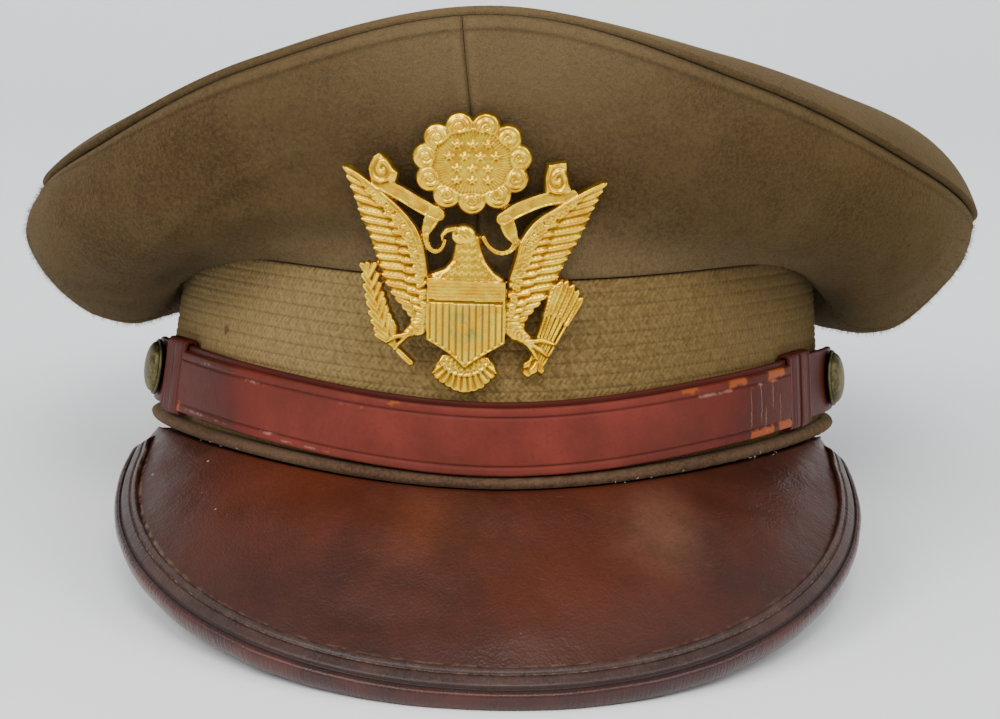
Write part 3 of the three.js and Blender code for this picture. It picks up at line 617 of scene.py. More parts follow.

# %% [markdown]
# ## The quarters
#
# Each quarter is a wall of cloth 2 mm thick. Its outer face carries the seams, folds and unevenness; its
# inner face doesn't, which a solidify modifier couldn't do. The nap mark tells the finish where the
# cloth is rubbed light along its seams, and where light is painted on it low in front. The groove mark
# is painted shade: in the seams, beside the top seam and in the two pockets where the crown hangs over
# the band.

# %% Marks and edges of the cloth
FRONT_SEAM, SIDE_SEAM, REAR_SEAM = -4.4, 92, 180
MILLIMETRES_FOR_DEGREE = 1.95
SIDE_LENGTH = 74
# Strengths of the painted shade in the seams and in the pockets, where the pockets lie and how wide, and the
# width in degrees of the painted light low in front.
SEAM_SHADE, POCKET_SHADE = 0.28, 0.85
POCKETS, POCKET_WIDTH, PAINTED_LIGHT_FRONT = (-62, 79), 10, 72
CLOTH_FACES = []


def drawn_back(edge, inner):
    """The small step by which an edge of cloth is drawn back from its seam."""
    back = inner - edge
    return back * (SEAM_HALF_GAP / norm(back, axis=1)[:, None])


def cloth_marks(groove, nap_and_painted_light):
    """Marks of a wall of cloth, whose inner face has no groove and no rubbed nap."""
    blank = np.zeros_like(groove)
    return {"groove": np.concatenate([groove, blank], 1), "nap_and_painted_light": np.concatenate([nap_and_painted_light, blank], 1)}


def quarter_marks(degrees, share, rim_away, seam_away, keep):
    # Painted shade: dark in the seams, beside the top seam's allowance and in the two pockets.
    seams = SEAM_SHADE * np.maximum(ridge(rim_away, 0, 0.7), ridge(seam_away, 0, 0.65))
    groove = np.maximum(seams, 0.3 * ridge(rim_away, ALLOWANCE + 0.1, 0.45)) * keep
    from_pocket = [np.abs(np.mod(degrees - pocket + 180, 360) - 180) for pocket in POCKETS]
    pocket = ridge(np.minimum(*from_pocket), 0, POCKET_WIDTH)[:, None]
    groove = np.maximum(groove, POCKET_SHADE * pocket * (1 - smooth_step(share, 0.26, 0.4)))
    # Painted light on the cloth low in front, fading towards the sides and upwards.
    painted_front_light = ridge(np.abs(np.mod(degrees + 180, 360) - 180), 0, PAINTED_LIGHT_FRONT)[:, None]
    nap_and_painted_light = 0.3 * ridge(rim_away, 1.6, 1.2) + 0.25 * ridge(seam_away, 1.8, 1.3)
    return cloth_marks(groove, nap_and_painted_light + 0.85 * painted_front_light * (1 - smooth_step(share, 0.1, 0.4)))


print("pockets at", POCKETS, "degrees")

# %% Make the quarters
def quarter(name, start, end, node):
    run = (end - start) * MILLIMETRES_FOR_DEGREE
    places = spaced(run, 2.4)
    degrees = start + places / MILLIMETRES_FOR_DEGREE
    trim = SEAM_HALF_GAP / MILLIMETRES_FOR_DEGREE
    degrees[0], degrees[-1] = degrees[0] + trim, degrees[-1] - trim
    distances = spaced(SIDE_LENGTH, 1.5, fine_end=False)
    grid, rim_away = resampled(side_lines(degrees), distances)
    grid, rim_away = grid[:, ::-1], rim_away[:, ::-1]
    radius = np.hypot(grid[..., 0] - RIM_MIDDLE[0], grid[..., 1] - RIM_MIDDLE[1])
    nearest = np.minimum(degrees - start, end - degrees)[:, None]
    seam_away = np.radians(np.abs(nearest)) * radius
    share = 1 - rim_away / rim_away[:, :1]
    free = smooth_step(rim_away[:, :1] - rim_away, 3, 14) * smooth_step(rim_away, 4, 16)
    lift = fold_relief(degrees[:, None], share, (MILLIMETRES_FOR_DEGREE, SIDE_LENGTH)) * free
    lift = lift + UNEVENNESS * slow_waves(grid, 42, 3) * free + 0.16 * slow_waves(grid, 11, 5) * free
    keep = smooth_step(rim_away[:, :1] - rim_away, 2, 5)
    relief = (seam_relief(rim_away) + seam_relief(seam_away)) * keep
    normals = outward_normals(grid)
    lifted = grid + normals * (lift + relief)[..., None]
    lifted[:, -1] += drawn_back(grid[:, -1], grid[:, -2])
    wall = np.concatenate([lifted, (grid - normals * CLOTH)[:, ::-1]], 1)
    marks = quarter_marks(degrees, share, rim_away, seam_away, keep)
    CLOTH_FACES.append((lifted, normals))
    faces = np.concatenate([grid_faces(*wall.shape[:2]), end_caps(*wall.shape[:2])])
    return make_piece(name, wall, faces, CROWN_WOOL, node, marks)


quarter("front_right_quarter", FRONT_SEAM, SIDE_SEAM, "crown_front_right")
quarter("front_left_quarter", -SIDE_SEAM, FRONT_SEAM, "crown_front_left")
quarter("rear_right_quarter", SIDE_SEAM, REAR_SEAM, "crown_rear_right")
quarter("rear_left_quarter", REAR_SEAM, 360 - SIDE_SEAM, "crown_rear_left")

# %% [markdown]
# ## The top
#
# The top is one flat oval of cloth, eased into the seam so that it rolls over the rim. Rings inside each
# other follow the rim better than squares would. Worn caps sag, so slow waves grow from the rim inwards
# and die out at the very middle, where all the sections meet.

# %% Make the top
TOP_DEGREES = np.arange(0, 360, 1.2)
TOP_SHARES = np.concatenate([1 - SEAM_STEPS / 120, 1 - np.arange(9, 44, 1.7) / 120, np.linspace(0.62, 0, 26)])


def crown_top():
    degrees = TOP_DEGREES[:, None]
    grid = top_point(degrees, TOP_SHARES[None, :])
    normals = -outward_normals(grid, ring=True)
    normals[:, -1] = (0, 0, 1)
    steps = norm(np.diff(grid, axis=1), axis=2)
    rim_away = np.concatenate([np.zeros((len(grid), 1)), np.cumsum(steps, axis=1)], 1)
    sag = smooth_step(rim_away, 6, 50)
    middle = smooth_step(TOP_SHARES, 0, 0.5)
    lift = (0.9 * slow_waves(grid, 60, 9) + 0.3 * slow_waves(grid, 19, 12)) * sag * middle
    relief = -SEAM_DIP * ridge(rim_away, 0, 0.5) + 0.22 * ridge(rim_away, 1.7, 1.1)
    lifted = grid + normals * (lift + relief)[..., None]
    lifted[:, 0] += drawn_back(grid[:, 0], grid[:, 1])
    wall = np.concatenate([lifted, (grid - normals * CLOTH)[:, ::-1]], 1)
    CLOTH_FACES.append((np.concatenate([lifted, lifted[:1]]), np.concatenate([normals, normals[:1]])))
    # Painted shade in the top seam; the rubbed edge of the top is lighter.
    marks = cloth_marks(0.22 * ridge(rim_away, 0, 0.7), 0.3 * ridge(rim_away, 0, 9))
    sections, count = wall.shape[:2]
    faces = grid_faces(sections, count, ring=True)
    inside_pole = count // 2
    keep = faces[:, 0] % count != inside_pole - 1
    return make_piece("crown_top_cloth", wall, faces[keep], CROWN_WOOL, "crown_top", marks)


crown_top()

# %% [markdown]
# ## Nap
#
# Milled wool keeps a short nap that softens every outline. Blender's hair isn't a mesh and would be
# lost when the cap is handed on. So each fibre is a sliver of one triangle on the outer faces, leaning
# all ways.

# %% Raise the nap
FIBRES_FOR_SQUARE_MILLIMETRE = 0.75
FIBRE_LENGTHS, FIBRE_WIDTH = (0.7, 2.1), 0.09


def crown_nap():
    draw = np.random.default_rng(41)
    slivers = []
    for grid, normals in CLOTH_FACES:
        corners = grid[:-1, :-1], grid[1:, :-1], grid[1:, 1:], grid[:-1, 1:]
        area = norm(np.cross(corners[2] - corners[0], corners[3] - corners[1]), axis=-1) / 2
        cell = np.repeat(np.arange(area.size), draw.poisson(area * FIBRES_FOR_SQUARE_MILLIMETRE).ravel())
        a, b, c, d = (corner.reshape(-1, 3)[cell] for corner in corners)
        u, v = draw.random((2, len(cell), 1))
        root = (a * (1 - u) + b * u) * (1 - v) + (d * (1 - u) + c * u) * v
        normal = normals[:-1, :-1].reshape(-1, 3)[cell]
        sideways = np.cross(normal, draw.normal(size=normal.shape))
        sideways /= norm(sideways, axis=1)[:, None]
        leaning = np.cross(normal, sideways) * draw.uniform(0.2, 1.3, (len(cell), 1)) + normal
        leaning *= draw.uniform(*FIBRE_LENGTHS, (len(cell), 1)) / norm(leaning, axis=1)[:, None]
        half = sideways * FIBRE_WIDTH / 2
        slivers.append(np.stack([root - half, root + half, root + leaning], 1))
    slivers = np.concatenate(slivers)
    blank = np.zeros(len(slivers) * 3)
    faces = np.arange(len(slivers) * 3).reshape(-1, 3)[:, [0, 1, 2, 2]]
    return make_piece("crown_nap", slivers, faces, CROWN_WOOL, None, {"groove": blank, "nap_and_painted_light": blank + 0.35})


crown_nap()

# %% [markdown]
# ## Head band and welt
#
# Under the braid a stiff band carries the cap. Its cloth is rolled round a cord at the foot, and this
# welt shows as a thick brown line between the strap and the peak, puckered where stitches draw it in.
# A tube beside the band would leave a gap; as it is one cloth, one section makes the band and the roll.

# %% Make the head band
BRAID_THICKNESS = 1.5
HEAD_BAND_THICKNESS = 2.2
BAND_GAP = 0.3
WELT_OUT, WELT_UP = 1.5, 0.8
WELT_HALF_DEPTH, WELT_HALF_HEIGHT = 2.1, 1.4
PUCKER_PITCH = 5.2


WELT_WOOL = wool_finish("rubbed brown wool", (0.042, 0.02, 0.011), (0.09, 0.048, 0.028),
                        (0.15, 0.09, 0.055), (0.16, 0.1, 0.06))


def head_band():
    degrees = np.arange(0, 360, 0.8)[:, None]
    outer = -BRAID_THICKNESS - BAND_GAP
    inner = outer - HEAD_BAND_THICKNESS
    turns = np.radians(np.linspace(100, -125, 30))[None, :]
    run = lengths_round(degrees, 0, 2)
    pucker = 0.14 * np.cos(2 * math.pi * run / PUCKER_PITCH + 1.5 * np.sin(run / 19))
    swell = 1 + (pucker - 0.05) * smooth_step(np.cos(turns), 0.1, 0.8)
    welt_out = WELT_OUT + WELT_HALF_DEPTH * np.cos(turns) * swell
    beside = np.sin(np.radians(degrees)) ** 2
    welt_up = WELT_UP + 0.9 * beside + (WELT_HALF_HEIGHT + 0.3 * beside) * np.sin(turns) * swell
    wall_out = np.array([[inner, inner, outer, outer]])
    wall_up = np.array([[WELT_UP - WELT_HALF_HEIGHT, BAND_HEIGHT, BAND_HEIGHT, WELT_UP + WELT_HALF_HEIGHT]])
    out = np.concatenate([np.broadcast_to(wall_out, (len(degrees), 4)), welt_out], 1)
    up = np.concatenate([np.broadcast_to(wall_up, (len(degrees), 4)), welt_up], 1)
    points = band_point(degrees, out, up)
    bare = np.zeros(points.shape[:2])
    faces = grid_faces(*points.shape[:2], ring=True)
    marks = {"groove": bare, "nap_and_painted_light": bare}
    return make_piece("band_with_welt", points, faces, WELT_WOOL, "head_band", marks)


head_band()

# %% [markdown]
# ## Braid
#
# The band is covered with a flat mohair braid of fourteen plaits, in which the yarns meet in small
# sideways arrowheads. Single yarns would take millions of triangles, and a bump would look flat at the
# edge. So the relief comes from two numbers: how far along the cap a point lies, and how far across its
# plait.

# %% Braid finish and relief
BRAID_FOOT = 2.6
PLAITS = 14
PLAIT_PITCH = (BAND_HEIGHT - BRAID_FOOT) / PLAITS
YARN_PITCH = 1.62
YARN_SLANT = 0.95
PLAIT_DEPTH = 0.66
RUST_SPOT = (-62, 28)


def braid_relief(along, up):
    """How far each point lies below the braid's face, in millimetres, and how deep in a groove."""
    plait = np.clip(np.floor(up / PLAIT_PITCH), 0, PLAITS - 1)
    across = 2 * (up / PLAIT_PITCH - plait) - 1
    shifted = along + 0.53 * plait + 0.35 * np.sin(along / 23 + plait * 2.1)
    turns = shifted / YARN_PITCH - YARN_SLANT * np.abs(across)
    yarn = (0.5 + 0.5 * np.cos(2 * math.pi * turns)) ** 0.8
    sides = 0.42 + 0.58 * np.sqrt(np.clip(1 - np.abs(across) ** 3.2, 0, 1))
    spine = 1 - 0.28 * ridge(across, 0, 0.2)
    worn = 1 + 0.12 * np.sin(np.floor(turns) * 2.7 + plait * 1.3)
    height = sides * spine * (0.42 + 0.58 * yarn) * worn
    return PLAIT_DEPTH * (height - 1.08), np.clip(1 - height, 0, 1)


def braid_finish():
    braid = Finish("khaki mohair braid",
                   **{"Roughness": 0.93, "Specular IOR Level": 0.1, "Sheen Weight": 0.12,
                      "Sheen Roughness": 0.5, "Sheen Tint": (1.0, 0.85, 0.5)})
    hairs = braid.noise(2100.0, 3.0, 0.7)
    strands = braid.noise(700.0, 3.0, 0.6)
    cloud = braid.noise(38.0, 3.0, 0.55)
    mist = braid.blend(braid.span(strands, 0.3, 0.7), (0.135, 0.082, 0.026), (0.25, 0.165, 0.058))
    mist = braid.blend(braid.span(hairs, 0.55, 0.8, 0.0, 0.6), mist, (0.36, 0.26, 0.115))
    rust_and_painted_side_light = braid.blend(braid.span(cloud, 0.55, 0.75, 0.0, 0.3), mist, (0.2, 0.11, 0.036))
    # Painted light and shade: the braid is lighter towards the left and darker towards the right.
    side = braid.node("SeparateXYZ", Vector=braid.place).outputs["X"]
    rust_and_painted_side_light = braid.blend(braid.span(side, 0.0, -0.06, 0.0, 0.35), rust_and_painted_side_light, (0.3, 0.21, 0.095))
    rust_and_painted_side_light = braid.blend(braid.span(side, -0.005, 0.07, 0.0, 0.62), rust_and_painted_side_light, (0.088, 0.052, 0.017))
    spot = tuple(float(c) for c in onto_table(band_point(RUST_SPOT[0], 0.0, RUST_SPOT[1])))
    near_spot = braid.node("VectorMath", {"operation": "DISTANCE"}, Vector=braid.place)
    near_spot.inputs[1].default_value = spot
    rust = braid.span(near_spot.outputs["Value"], 0.0008, 0.0017, 0.85, 0.0)
    rust_and_painted_side_light = braid.blend(rust, rust_and_painted_side_light, (0.1, 0.03, 0.012))
    # Painted shade in the grooves between the yarns.
    deep = braid.span(braid.mark("groove"), 0.25, 0.95, 0.0, 0.7)
    shaded = braid.blend(deep, rust_and_painted_side_light, (0.062, 0.036, 0.012))
    braid.bump((strands, 0.0003), (hairs, 0.00025))
    return braid.done(shaded)


BRAID = braid_finish()

# %% [markdown]
# ## Two halves of braid
#
# The real braid is one length. It is made here in two halves, since only the front has to be fine enough
# for single yarns. Each half is one closed wall, its hidden back two points high.

# %% Make the braid
def braid_half(name, start, end, step):
    fine = np.linspace(start, end, int((end - start) * 1.57 / step))
    rows = BRAID_FOOT + np.arange(0, BAND_HEIGHT - BRAID_FOOT, PLAIT_PITCH / 8)
    rows = np.append(rows, BAND_HEIGHT)
    run = lengths_round(fine, 0, 20)[:, None]
    drop, groove = braid_relief(run, (rows - BRAID_FOOT)[None, :])
    back = np.full((len(fine), 1), -BRAID_THICKNESS)
    out = np.concatenate([back, drop, back], 1)
    up = np.concatenate([rows[:1], rows, rows[-1:]])[None, :]
    points = band_point(fine[:, None], out, up)
    deep = np.concatenate([back * 0, groove, back * 0], 1)
    faces = filled_tube(np.stack(np.broadcast_arrays(out, up), -1))
    return make_piece(name, points, faces, BRAID, "braid_band", {"groove": deep})


braid_half("braid_front_half", -97, 97, 0.37)
braid_half("braid_rear_half", 97, 263, 0.6)

# %% [markdown]
# ## Old russet leather
#
# The peak is leather that has darkened with polish, grey brown where dust and wax stay. Its warm middle
# is a painted warm reflection and its greyer sides a painted reflection; two patches are painted
# highlights, the right one also dust, and the left is painted lighter towards the seat. Next to the
# seat the middle is lighter and warmer. These marks could be painted in a picture; here spans along and
# across the peak place them and noise breaks up their edges. The pores are a fine cell pattern, the
# scratches long thin noise.

# %% Peak leather finish
# Two painted highlights, each a span along, a span inward and a colour; the first also stands for dust.
HIGHLIGHT_AND_DUST_PATCHES = [(44, 62, 26, 44, (0.185, 0.088, 0.05)), (-34, -14, 36, 50, (0.14, 0.034, 0.011))]
DUST_FADES = (-105.0, -75.0, 1.0, 0.35)


def peak_finish():
    leather = Finish("russet peak leather",
                     **{"Specular IOR Level": 0.22, "Coat Weight": 0.05, "Coat Roughness": 0.3})
    _, along, inward = leather.measures()
    cloud = leather.noise(17.0, 4.0, 0.55)
    patch = leather.noise(48.0, 5.0, 0.62)
    grain = leather.noise(900.0, 3.0, 0.6)
    centre = leather.within(along, -95.0, 75.0, 38.0)
    # Painted warm reflection in the middle of the peak.
    warm_reflection = leather.times(leather.span(cloud, 0.4, 0.62), centre)
    hide = leather.blend(leather.span(patch, 0.35, 0.7), (0.033, 0.0082, 0.004), (0.062, 0.013, 0.0055))
    hide = leather.blend(leather.times(warm_reflection, 0.75), hide, (0.082, 0.0165, 0.006))
    # Painted reflection: the sides of the peak are greyer.
    sides = leather.span(leather.maths("ABSOLUTE", along), 105.0, 165.0, 0.0, 0.6)
    hide = leather.blend(sides, hide, (0.072, 0.019, 0.0115))
    near_seat = leather.span(inward, 52.0, 66.0, 0.0, 0.55)
    hide = leather.blend(leather.times(near_seat, centre), hide, (0.11, 0.019, 0.006))
    # Painted light on the left of the peak, towards the seat.
    left = leather.times(leather.within(along, -112.0, -48.0, 24.0), leather.span(inward, 14.0, 40.0))
    hide = leather.blend(leather.times(left, 0.4), hide, (0.13, 0.027, 0.01))
    # Painted highlights; the patch on the right is also dust.
    for low, high, foot, top, tone in HIGHLIGHT_AND_DUST_PATCHES:
        highlight_and_dust = leather.times(leather.within(along, low, high, 16.0),
                               leather.within(inward, foot, top, 11.0))
        highlight_and_dust = leather.times(highlight_and_dust, leather.span(patch, 0.25, 0.7, 0.35, 0.9))
        hide = leather.blend(highlight_and_dust, hide, tone)
    waxy = leather.span(inward, 26.0, 8.0, 0.0, 0.35)
    hide = leather.blend(waxy, hide, (0.026, 0.01, 0.007))
    hide = leather.blend(leather.span(grain, 0.35, 0.75, 0.0, 0.3), hide, (0.03, 0.01, 0.006))
    streak = leather.noise(1.0, 3.0, 0.6, leather.stretched(leather.place, (90.0, 900.0, 300.0)))
    scratch = leather.span(streak, 0.71, 0.76, 0.0, 0.35)
    hide = leather.blend(scratch, hide, (0.13, 0.055, 0.035))
    dust = leather.within(inward, 5.9, 6.9, 0.35)
    dust = leather.times(dust, leather.span(leather.noise(420.0, 2.0), 0.42, 0.66, 0.0, 0.75))
    dust = leather.times(dust, leather.span(along, *DUST_FADES))
    hide = leather.blend(dust, hide, (0.19, 0.13, 0.085))
    dots = leather.node("TexVoronoi", {"feature": "F1"}, Vector=leather.place, Scale=210.0)
    near_dot = leather.span(dots.outputs["Distance"], 0.09, 0.05)
    lottery = leather.node("SeparateXYZ", Vector=dots.outputs["Color"]).outputs["X"]
    left_edge = leather.span(along, -70.0, -150.0, 0.9, 0.55)
    speck = leather.times(near_dot, leather.maths("GREATER_THAN", lottery, left_edge))
    hide = leather.blend(leather.times(speck, 0.75), hide, (0.5, 0.45, 0.38))
    pores = leather.node("TexVoronoi", {"feature": "F1"}, Vector=leather.place, Scale=1500.0)
    leather.bump((patch, 0.0006), (leather.noise(190.0, 3.0, 0.6), 0.00018),
                 (pores.outputs["Distance"], 0.00008), (streak, 0.00006))
    gloss = leather.span(patch, 0.3, 0.75, 0.36, 0.52)
    return leather.done(hide, gloss)


PEAK_LEATHER = peak_finish()

# %% [markdown]
# ## The peak
#
# The peak is a thick leather crescent, seated under the welt and crowned a little, so that rain runs
# off. A bent plane with thickness would do for a new one. Sections from the seat to the edge, at even
# shares of the way round, let the binding use the same shares, and slow waves make the face uneven.

# %% Make the peak
PEAK_EDGE = {"half_width": 92.6, "half_length": 96.3, "power": 2.05, "centre_x": -1, "centre_y": -40,
             "nose_shift": 2.4}
PEAK_CORNER_ANGLE, PEAK_CORNER_ON_BAND = 107, 81
PEAK_CORNER_Y, PEAK_CORNER_UP = -12, 3.6
PEAK_SLOPE = 0.351
PEAK_THICKNESS, PEAK_CROWNING = 3, 2.2


def peak_frame(share):
    """Seat under the welt and point of the outer edge, at a share of the way round (-1 to 1)."""
    seat = band_point(share * PEAK_CORNER_ON_BAND, WELT_OUT + 1, -BAND_GAP - 0.6)
    x, y = on_oval(PEAK_EDGE, share * PEAK_CORNER_ANGLE)
    edge = np.stack([x, y, PEAK_CORNER_UP + PEAK_SLOPE * (y - PEAK_CORNER_Y)], -1)
    return seat, edge


def peak_top(share, inward):
    """Point of the peak's upper face, a length in from its outer edge."""
    seat, edge = peak_frame(share)
    reach = norm(edge - seat, axis=-1)
    t = (1 - np.minimum(inward / reach, 1))[..., None]
    crowned = 4 * t * (1 - t) * PEAK_CROWNING * np.minimum(reach / 50, 1)[..., None]
    return seat + (edge - seat) * t + crowned * (0, 0, 1)


def peak_down(share):
    """Direction straight down through the leather."""
    seat, edge = peak_frame(share)
    ahead, behind = (peak_frame(np.clip(share + step, -1, 1))[1] for step in (0.01, -0.01))
    down = np.cross(ahead - behind, edge - seat)
    down /= norm(down, axis=-1, keepdims=True)
    return np.where(down[..., 2:] > 0, -down, down)


PEAK_ROUND = 166


def peak():
    share = np.linspace(-1, 1, 231)
    seat, edge = peak_frame(share)
    reach = norm(edge - seat, axis=-1)
    parts = np.concatenate([np.linspace(1, 0.03, 54), [0.02, 0.01, 0.004, 0]])
    inward = reach[:, None] * parts
    plain = peak_top(np.broadcast_to(share[:, None], inward.shape), inward)
    down = peak_down(share)[:, None, :]
    free = smooth_step(inward, 5, 16) * smooth_step(reach[:, None] - inward, 2, 12)
    waves = (0.35 * slow_waves(plain, 38, 21) + 0.12 * slow_waves(plain, 13, 22)) * free
    rounded = 0.5 * ridge(inward, 0, 0.6)[..., None]
    grid = plain - down * waves[..., None] + down * rounded
    under = plain + down * PEAK_THICKNESS - down * rounded
    margin = band_point(share * PEAK_CORNER_ON_BAND, -BRAID_THICKNESS, -BAND_GAP - 0.65)[:, None]
    below = margin + np.array([0, 0, -PEAK_THICKNESS])
    wall = np.concatenate([margin, grid, under[:, ::-1], below], 1)
    along = np.broadcast_to(share[:, None] * PEAK_ROUND, inward.shape)
    laid = np.stack([along, inward], -1)
    edge_in = np.stack([along[:, :1], inward[:, :1]], -1)
    measures = np.concatenate([edge_in, laid, laid[:, ::-1], edge_in], 1)
    sections, count = wall.shape[:2]
    faces = np.concatenate([grid_faces(sections, count), end_caps(sections, count)])
    return make_piece("leather_peak", wall, faces, PEAK_LEATHER, "peak", None, measures)


peak()

# %% [markdown]
# ## The binding's leather
#
# A strip of darker leather is folded over the edge. Its flap has a film of dust, the rolled edge is worn
# smooth and reddish, and the crease between them is painted nearly black as shade. Three materials would
# meet in hard lines, so one finish asks how far round the strip a point lies.

# %% Binding finish
def binding_finish():
    leather = Finish("dark edging leather",
                     **{"Specular IOR Level": 0.32, "Coat Weight": 0.12, "Coat Roughness": 0.22})
    laid, along, round_it = leather.measures()
    patch = leather.noise(60.0, 4.0, 0.6)
    grain = leather.noise(750.0, 3.0, 0.6)
    flap = leather.blend(leather.span(patch, 0.35, 0.7), (0.024, 0.0078, 0.005), (0.045, 0.0135, 0.0085))
    roll = leather.blend(leather.span(patch, 0.4, 0.65), (0.034, 0.0095, 0.008), (0.06, 0.0145, 0.0105))
    rolled = leather.within(round_it, 6.0, 9.6, 0.7)
    hide = leather.blend(rolled, flap, roll)
    # Painted shade in the crease between the flap and the roll.
    crease_shade = leather.within(round_it, 5.0, 5.9, 0.35)
    hide = leather.blend(leather.times(crease_shade, 0.85), hide, (0.012, 0.006, 0.006))
    dust_edge = leather.within(round_it, -0.5, 0.45, 0.25)
    dusty = leather.times(dust_edge, leather.span(leather.noise(380.0, 2.0), 0.42, 0.68, 0.0, 0.7))
    dusty = leather.times(dusty, leather.span(along, *DUST_FADES))
    hide = leather.blend(dusty, hide, (0.17, 0.12, 0.08))
    front = leather.span(leather.maths("ABSOLUTE", along), 60.0, 130.0, 1.0, 0.25)
    film = leather.within(round_it, 0.6, 4.6, 0.6)
    film = leather.times(film, leather.span(leather.noise(130.0, 4.0, 0.7), 0.45, 0.75, 0.0, 0.3))
    hide = leather.blend(leather.times(film, front), hide, (0.1, 0.065, 0.05))
    wrinkle = leather.noise(1.0, 3.0, 0.6, leather.stretched(laid, (1.4, 0.25, 1.0)))
    leather.bump((patch, 0.0004), (wrinkle, 0.0003), (grain, 0.0001))
    dull = leather.span(patch, 0.3, 0.7, 0.36, 0.5)
    return leather.done(hide, leather.maths("SUBTRACT", dull, leather.times(rolled, 0.14)))


BINDING_LEATHER = binding_finish()

# %% [markdown]
# ## The peak's binding
#
# On top the strip is a flat flap with a sunk line for the stitches, then a pressed crease, then the
# roll. A bevelled curve couldn't narrow the flap towards the corners of the peak. So the section is
# drawn once in two directions, outward and down, and carried round the edge, with its ends tucked in.

# %% Make the binding
BINDING_WIDTH = 6.5
BINDING_REACH, BINDING_TUCK = 0.965, 0.91
BINDING_INNER = PEAK_THICKNESS / 2 + BAND_GAP
BINDING_OUTER = BINDING_INNER + 1.2
STITCH_LINE = 1.9


def binding_frame(share):
    """Middle of the peak's edge, the directions out and down from it, and the flap's width."""
    seat, edge = peak_frame(share)
    width = np.minimum(BINDING_WIDTH, norm(edge - seat, axis=-1) * 0.4)
    down = peak_down(share)
    out = edge - peak_top(share, width)
    out /= norm(out, axis=-1, keepdims=True)
    return edge + down * PEAK_THICKNESS / 2, out, down, width


def binding():
    share = np.linspace(-BINDING_REACH, BINDING_REACH, 311)
    lip, out, down, width = binding_frame(share)
    from_inner = np.array([0, 0.1, 0.25, 0.45, 0.8, 1.2, 1.5, 1.7, 1.9, 2.1, 2.3, 2.6, 3, 3.5, 4, 4.4, 4.7,
                           5.0, 5.2, 5.4, 5.6, 5.8])
    rounded = 0.55 * corner_drop(from_inner, 0.5)
    stitched = 0.3 * ridge(from_inner, STITCH_LINE, 0.33)
    creased = 0.62 * ridge(from_inner, 5.3, 0.4)
    flap_depth = -BINDING_OUTER + rounded + stitched + creased
    turns = np.radians(np.linspace(-112, 90, 26))
    roll_out, roll_depth = 0.15 + 1.6 * np.cos(turns), (BINDING_OUTER + 0.05) * np.sin(turns)
    under = np.linspace(0, 1, 8)[1:]
    scale = (width / BINDING_WIDTH)[:, None]
    flap_out = (from_inner - BINDING_WIDTH) * scale
    each = np.ones_like(scale)
    outs = [flap_out, roll_out * each, -under * width[:, None], -width[:, None] * (1 - under)]
    outs += [0.3 * each, 0.3 * each, -under * width[:, None]]
    depths = [flap_depth, roll_depth, 0 * under + BINDING_OUTER, 0 * under + BINDING_INNER]
    depths += [[BINDING_INNER], [-BINDING_INNER], 0 * under - BINDING_INNER]
    outs = np.concatenate(outs, 1)
    depths = np.broadcast_to(np.concatenate([np.atleast_1d(d) for d in depths]), outs.shape)
    tuck = smooth_step(np.abs(share), BINDING_TUCK, BINDING_REACH)[:, None]
    outs, depths = outs - 1.1 * tuck, depths * (1 - 0.3 * tuck) + 1.0 * tuck
    waver = 0.1 * slow_waves(lip, 17, 31)[:, None] * smooth_step(outs, -2, 0.5)
    points = lip[:, None] + out[:, None] * (outs + waver)[..., None] + down[:, None] * depths[..., None]
    count = outs.shape[1]
    hidden = np.full(count - len(from_inner) - len(turns), 12.0)
    round_it = np.concatenate([from_inner, np.linspace(6, 9.8, len(turns)), hidden])
    measures = np.stack(np.broadcast_arrays(share[:, None] * PEAK_ROUND, round_it[None, :]), -1)
    faces = filled_tube(np.stack([outs, depths], -1))
    return make_piece("rolled_binding", points, faces, BINDING_LEATHER, "peak_binding", None, measures)


binding()

# %% [markdown]
# ## Stitches in the binding
#
# The stitches are short worn threads, about eleven to the inch, sunk in their line with pale dust
# on them. One long thread would have to weave through the leather. As only the top of each stitch
# shows, each is a small spindle that dives into the leather at both ends.

# %% Make the stitches
STITCH_PITCH = 2.25
STITCH_LENGTH = 1.6
STITCH_HALF_THICK = 0.19


def thread_finish():
    thread = Finish("dusty thread", Roughness=0.85)
    tone = thread.span(thread.noise(300.0, 3.0, 0.7), 0.35, 0.7)
    return thread.done(thread.blend(tone, (0.03, 0.014, 0.009), (0.13, 0.085, 0.06)))


THREAD = thread_finish()


def spindles(starts, ends, up, thick, rounds=6):
    """Small threads, each a spindle from a start to an end."""
    shares = np.array([0, 0.2, 0.5, 0.8, 1])
    girth = thick * np.array([0.3, 0.9, 1, 0.9, 0.3])
    arch = thick * np.array([-1.1, 0.0, 0.35, 0.0, -1.1])
    run = ends - starts
    side = np.cross(run, up)
    side /= norm(side, axis=1)[:, None]
    turns = np.linspace(0, 2 * math.pi, rounds, endpoint=False)
    centre = starts[:, None] + run[:, None] * shares[:, None] + up[:, None] * arch[:, None]
    round_it = side[:, None, None] * np.cos(turns)[:, None] + up[:, None, None] * np.sin(turns)[:, None]
    points = centre[:, :, None] + round_it * girth[:, None, None]
    faces = grid_faces(len(shares), rounds)
    caps = [np.arange(rounds), np.arange(rounds) + (len(shares) - 1) * rounds]
    closed = [[cap[0], cap[i], cap[i + 1], cap[i + 1]] for cap in caps for i in range(1, rounds - 1)]
    closed = [face if i < rounds - 2 else face[::-1] for i, face in enumerate(closed)]
    one = np.concatenate([faces, np.array(closed)])
    step = len(shares) * rounds
    return points, np.concatenate([one + i * step for i in range(len(starts))])


